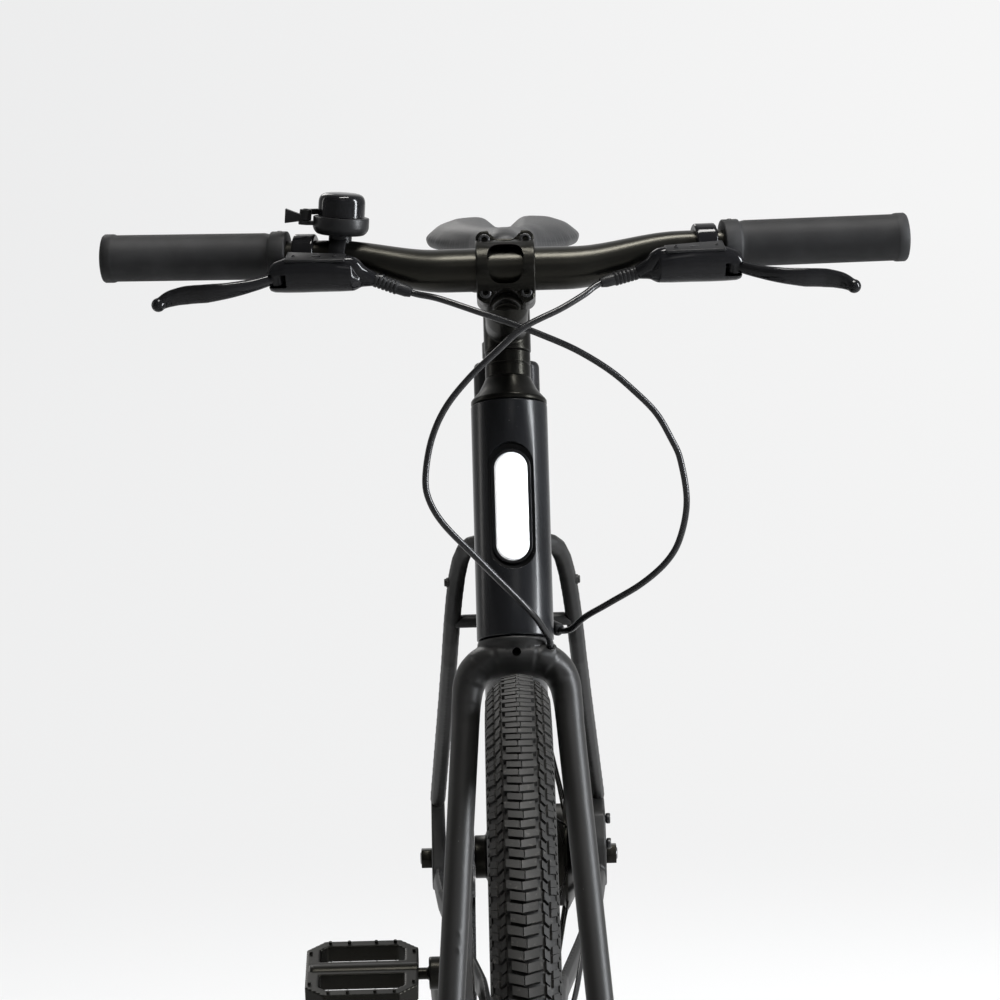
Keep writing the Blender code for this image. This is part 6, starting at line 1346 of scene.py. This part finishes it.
# Rear stays, axle and the drive
def make_rear_triangle():
    for label in ("left", "right"):
        recast("chain_stay_" + label, "chain_stay_form_" + label, "fork_paint", "frame", 0.0011, 8, 50)
        stay = recast("seat_stay_" + label, "seat_stay_form_" + label, "fork_paint", "frame", 0.0010, 14, 60)
        softened("axle_nut_" + label, "axle_nut_form_" + label, "black_anodised", "frame", 0.0006)
        low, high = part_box("stay_bridge")
        height = (low[2] + high[2]) / 2 + 0.040
        near = [vert.co for vert in stay.data.vertices if abs(vert.co.z - height) < 0.003]
        spot = max(near, key=lambda point: abs(point.x)).copy()
        outward = Vector((1 if spot.x > 0 else -1, 0, 0))
        foot = spot - outward * 0.0015
        boss = rod(0.0046, foot, foot + outward * 0.0026, 32, 0.0042)
        place = Matrix.Translation(foot + outward * 0.0024) @ turned(outward.x * pi / 2, "Y")
        screw = socket_bolt(0.0034, 0.0020, place)
        piece(joined(boss, screw), "rack_boss_" + label, "fork_paint", "frame")
    recast("stay_bridge", "stay_bridge_form", "fork_paint", "frame", 0.0007, 10, 60)
    softened("rear_axle", "rear_axle_form", "steel", "frame", 0.0004)


def make_drive():
    softened("belt_ring", "belt_ring_form", "black_anodised", "crank", 0.0003)
    softened("rear_sprocket", "sprocket_form", "steel", "rear_sprocket", 0.0003)
    softened("drive_belt", "belt_loop", "belt_rubber", "frame", 0.0002)
    for side, label in ((1, "left"), (-1, "right")):
        place = CRANK @ turned(-CRANK_ANGLE if side > 0 else pi - CRANK_ANGLE, "X")
        boss = wheel([(0.0180, side * 0.0552), (0.0190, side * 0.0560), (0.0190, side * 0.0702),
                      (0.0180, side * 0.0712)], 96)
        eye = placed(drum(0.0135, side * 0.0645, side * 0.0764, 64), shifted(0, CRANK_LENGTH, 0))
        arm = copied("crank_arm_" + label)
        arm = cast(joined(arm, placed(joined(boss, eye), place)), 0.0009, 5)
        arm = fitted(arm, placed(drum(0.0078, side * 0.0680, side * 0.0800, 64), place))
        piece(arm, "crank_form_" + label, "black_anodised", "crank", "crank_arm_" + label, sharp=50)
        cap = wheel([(0.0040, side * 0.0660), (0.0076, side * 0.0660), (0.0076, side * 0.0694),
                     (0.0070, side * 0.0700), (0.0040, side * 0.0700)], 64, closed=True)
        piece(placed(cap, place), "crank_bolt_" + label, "bolt_black", "crank")


def make_pedals():
    """Caged pedals with grip pins, a bearing cap and a plain spindle shoulder."""
    for side, label in ((1, "left"), (-1, "right")):
        swing = side * CRANK_LENGTH
        centre = BOTTOM_BRACKET + Vector((0, swing * cos(CRANK_ANGLE), -swing * sin(CRANK_ANGLE)))
        place = Matrix.Translation(centre) @ Matrix.Scale(side, 4, (1, 0, 0)) @ turned(radians(14), "X")
        barrel = wheel([(0.0088, 0.0852), (0.0093, 0.0858), (0.0093, 0.1708), (0.0088, 0.1716)], 64)
        cage = cast(joined(copied("pedal_" + label), placed(barrel, place)), 0.0008, 2)
        cage = fitted(cage, placed(drum(0.0054, 0.0800, 0.1655, 48), place))
        pins = []
        for x in (0.0885, 0.1040, 0.1195, 0.1415, 0.1570, 0.1725):
            half = 0.0435 * (0.62 if x in (0.0885, 0.1725) else 1.0)
            for y in (-half, half):
                for face in (-1, 1):
                    pins.append(peg(0.0016, x, y, face * 0.0060, face * 0.0090, 12, 0.0013))
        cage = joined(cage, placed(joined(*pins), place))
        piece(cage, "pedal_cage_" + label, "black_anodised", "pedal_" + label, "pedal_" + label, sharp=40)


make_rear_triangle()
make_drive()
make_pedals()


# Seat post, clamp, saddle and battery
def shape_saddle(cover):
    """Sink the channel between the saddle's lobes, and let the lobes roll down at their sides."""
    to_rails = RAILS.inverted()

    def mould(vert):
        point = to_rails @ vert.co
        upper = smooth_step(0.10, 0.60, vert.normal.z)
        rear = smooth_step(-0.070, 0.0, point.y)
        across = max(0.0, 1 - (point.x / 0.018) ** 2) ** 2
        sink = 0.0105 * upper * rear * across
        nose = smooth_step(-0.060, -0.090, point.y) * smooth_step(-0.150, -0.125, point.y)
        sink += 0.0022 * nose * upper * min(1.0, (point.x / 0.016) ** 2)
        rise = min(max((point.z - 0.0215) / 0.029, 0.0), 1.0)
        side = smooth_step(0.026, 0.050, abs(point.x)) * rear
        way = 1 if point.x > 0 else -1
        belly = smooth_step(0.35, 0.60, rise) * (1 - smooth_step(0.85, 1.0, rise))
        vert.co.x += way * side * (0.0016 * (1 - smooth_step(0.10, 0.45, rise)) - 0.0030 * belly)
        vert.co.z -= sink

    edit(reshaped(cover, mould))
    bpy.ops.mesh.select_all(action="SELECT")
    bpy.ops.mesh.vertices_smooth(factor=0.5, repeat=14)
    bpy.ops.object.mode_set(mode="OBJECT")


def make_seat():
    post = lathe([(0.0135, 0.4400), (0.0149, 0.4400), (0.0151, 0.4404), (0.0151, 0.6440),
                  (0.0146, 0.6470), (0.0135, 0.6475)], 72)
    head = placed(block((0.060, 0.038, 0.0165), (0, 0, 0), 0.0042, 4), RAILS)
    yoke = drawn([(0, 0, 0.618, 0.0151), (0, 0, 0.630, 0.0160, 0.0165), (0, 0, 0.640, 0.0200, 0.0175)],
                 "Z", 48)
    yoke = placed(yoke, SEAT)
    post = cast(joined(placed(post, SEAT), yoke, head), 0.0009, 4)
    for side in (-1, 1):
        groove = placed(rod(0.0038, (side * 0.022, -0.05, 0), (side * 0.022, 0.05, 0), 32), RAILS)
        post = fitted(post, groove)
    post = fitted(post, placed(block((0.09, 0.06, 0.0010)), RAILS))
    piece(post, "seatpost_form", "black_anodised", "seat", "seatpost", sharp=45)
    bolts("saddle_clamp_bolts", "seat", 0.0037, 0.0036,
          *[RAILS @ shifted(0, way * 0.0125, 0.0080) for way in (-1, 1)])
    rails = [(0.0250, 0.096, 0.031), (0.0235, 0.080, 0.0200), (0.0220, 0.056, 0.0045), (0.0220, 0.036, 0.0),
             (0.0220, 0.0, 0.0), (0.0220, -0.036, 0.0), (0.0200, -0.062, 0.0060), (0.0145, -0.092, 0.0220),
             (0.0105, -0.108, 0.0330), (0.0070, -0.1185, 0.0385)]
    rails = rails + [(-x, y, z) for x, y, z in reversed(rails)]
    wire = placed(bent(rails, 0.0035, 24, 6), RAILS)
    piece(wire, "saddle_rail_wire", "steel", "seat", "saddle_rails", sharp=60)
    base = SEAT_TUBE_TOP - 0.014
    middle = base + 0.007
    clamp = lathe([(0.0178, base), (0.0198, base), (0.0205, base + 0.0008), (0.0205, base + 0.0132),
                   (0.0198, base + 0.0140), (0.0178, base + 0.0140)], 96, closed=True)
    ears = block((0.0160, 0.0130, 0.013), (0, -0.0255, middle), 0.0022, 3)
    ears = fitted(ears, lathe([(0.0180, base - 0.01), (0.0180, base + 0.03)], 96))
    slit = block((0.0022, 0.020, 0.05), (0, -0.0270, middle))
    clamp = fitted(welded(clamp, ears), slit)
    bolt = rod(0.0026, (-0.0110, -0.0265, middle), (0.0080, -0.0265, middle))
    clamp = placed(joined(clamp, bolt), SEAT)
    piece(clamp, "seat_clamp_form", "black_anodised", "frame", "seat_clamp")
    bolts("seat_clamp_bolt", "frame", 0.0042, 0.0032,
          SEAT @ shifted(0.0080, -0.0265, middle) @ turned(pi / 2, "Y"))
    cover = cast(copied("saddle"), 0.0022, 14)
    shape_saddle(cover)
    cover = changed(cover, "SUBSURF", levels=1, render_levels=1)
    piece(cover, "saddle_cover_form", "saddle_cover", "seat", "saddle", sharp=80)


def make_battery():
    case = cast(copied("battery_case"), 0.0012, 6)
    for height in (0.3475, 0.5640):
        groove = block((0.070, 0.064, 0.0009), (0, 0.0475, height))
        core = block((0.0552, 0.0502, 0.0012), (0, 0.0475, height))
        case = fitted(case, placed(fitted(groove, core), SEAT))
    piece(case, "battery_shell", "black_plastic", "battery", "battery_case", sharp=50)
    softened("battery_cradle", "battery_cradle_form", "black_plastic", "frame", 0.0008)
    softened("battery_lock", "lock_barrel", "steel", "battery_lock", 0.0003)
    lens = eased(slot_form(0.0160, 0.052, 0, 0.0040, 16), 0.0014, 4)
    turn = turned(pi / 2, "X") @ turned(pi, "Y")
    lens = placed(lens, SEAT @ shifted(0, 0.0738, 0.5450) @ turn)
    piece(lens, "rear_light_form", "red_lens", "battery", "rear_light_lens")


make_seat()
make_battery()


# Floor, backdrop and studio lights
def surround(name, near=None):
    """A matt surface that the camera and mirrors see as pale as the photograph's backdrop."""
    g = Graph(name)
    place = g.node("NewGeometry", output="Position")
    along = g.node("SeparateXYZ", Vector=place)
    # Painted shade on the surround: its colour darkens towards the left (-X), and far to the sides and
    # towards the front (-Y) it fades to grey, standing in for the studio light falling off
    colour = g.mix(along.ramp(-3.0, 3.0), (0.835, 0.837, 0.840), (0.925, 0.925, 0.925))
    far_painted_shade = along.math("ABSOLUTE").ramp(4.0, 10.0)
    ahead = g.node("SeparateXYZ", output=1, Vector=place)
    far_painted_shade = far_painted_shade.math("MAXIMUM", (0.0 - ahead).ramp(3.5, 9.0))
    colour = g.mix(far_painted_shade, colour, (0.42, 0.42, 0.425))
    seen = g.node("LightPath", output="Is Camera Ray") + g.node("LightPath", output="Is Glossy Ray")
    seen = (seen + g.node("LightPath", output="Is Transmission Ray")).math("MINIMUM", 1.0)
    if near:
        distance = g.node("VectorMath", {"operation": "LENGTH"}, "Value", _0=place)
        seen = seen * (distance.ramp(*near) * 0.30 + 0.70)
    matt = g.node("BsdfDiffuse", Color=colour)
    glow = g.node("Emission", Color=colour, Strength=1.0)
    return g.shown(g.node("MixShader", _0=seen, _1=matt, _2=glow))


def make_stage():
    floor_finish = surround("floor_white", (1.4, 2.6))
    wall_finish = surround("backdrop_white")
    for name, place, turn, size, finish in (
        ("floor", (0, 0, -0.0005), (0, 0, 0), (60, 60, 1), floor_finish),
        ("backdrop", (0, 13.0, 0), (pi / 2, 0, 0), (60, 60, 1), wall_finish),
        ("side_wall_left", (12.0, 0, 2.5), (0, pi / 2, 0), (5, 60, 1), wall_finish),
        ("side_wall_right", (-12.0, 0, 2.5), (0, pi / 2, 0), (5, 60, 1), wall_finish),
        ("rear_wall", (0, -13.0, 2.5), (pi / 2, 0, 0), (60, 5, 1), wall_finish),
    ):
        bpy.ops.object.select_all(action="DESELECT")
        bpy.ops.mesh.primitive_plane_add(size=1.0, location=place, rotation=turn)
        item = bpy.context.object
        item.scale = size
        item.name = name
        item.data.materials.append(finish)
    world = bpy.data.worlds.new("studio")
    bpy.context.scene.world = world
    world.use_nodes = True
    sky = world.node_tree.nodes["Background"]
    sky.inputs["Color"].default_value = (0.96, 0.98, 1.0, 1.0)
    sky.inputs["Strength"].default_value = 0.20
    for name, place, look, size, power in (
        ("right_strip", (2.5, -1.00, 1.5), (0, -0.3, 0.7), (0.46, 2.2), 225.0),
        ("left_strip", (-2.7, 0.60, 1.6), (0, -0.3, 0.7), (0.3, 1.8), 9.0),
        ("overhead", (0.3, -0.7, 3.4), (0, -0.3, 0.6), (1.4, 0.5), 110.0),
        ("front", (0.4, -3.6, 3.4), (0, -0.3, 0.6), (1.2, 0.9), 6.0),
        ("rear", (-1.2, 3.0, 2.8), (0, 0.2, 0.6), (1.4, 1.4), 28.0),
    ):
        data = bpy.data.lights.new(name, "AREA")
        data.shape = "RECTANGLE"
        data.size, data.size_y = size
        data.energy = power
        data.color = (0.93, 0.96, 1.0) if name == "right_strip" else (1.0, 0.985, 0.96)
        item = bpy.data.objects.new(name, data)
        bpy.context.scene.collection.objects.link(item)
        turn = (Vector(place) - Vector(look)).to_track_quat("Z", "Y").to_matrix().to_4x4()
        item.matrix_world = Matrix.Translation(place) @ turn
    bpy.context.scene.view_settings.view_transform = "Standard"


make_stage()

# Finishes of the CAD pieces that are shown as they are
for item in NODES.values():
    for slot in item.material_slots:
        name = slot.material.name.split(".")[0] if slot.material else ""
        slot.material = MATERIALS.get(name, slot.material)
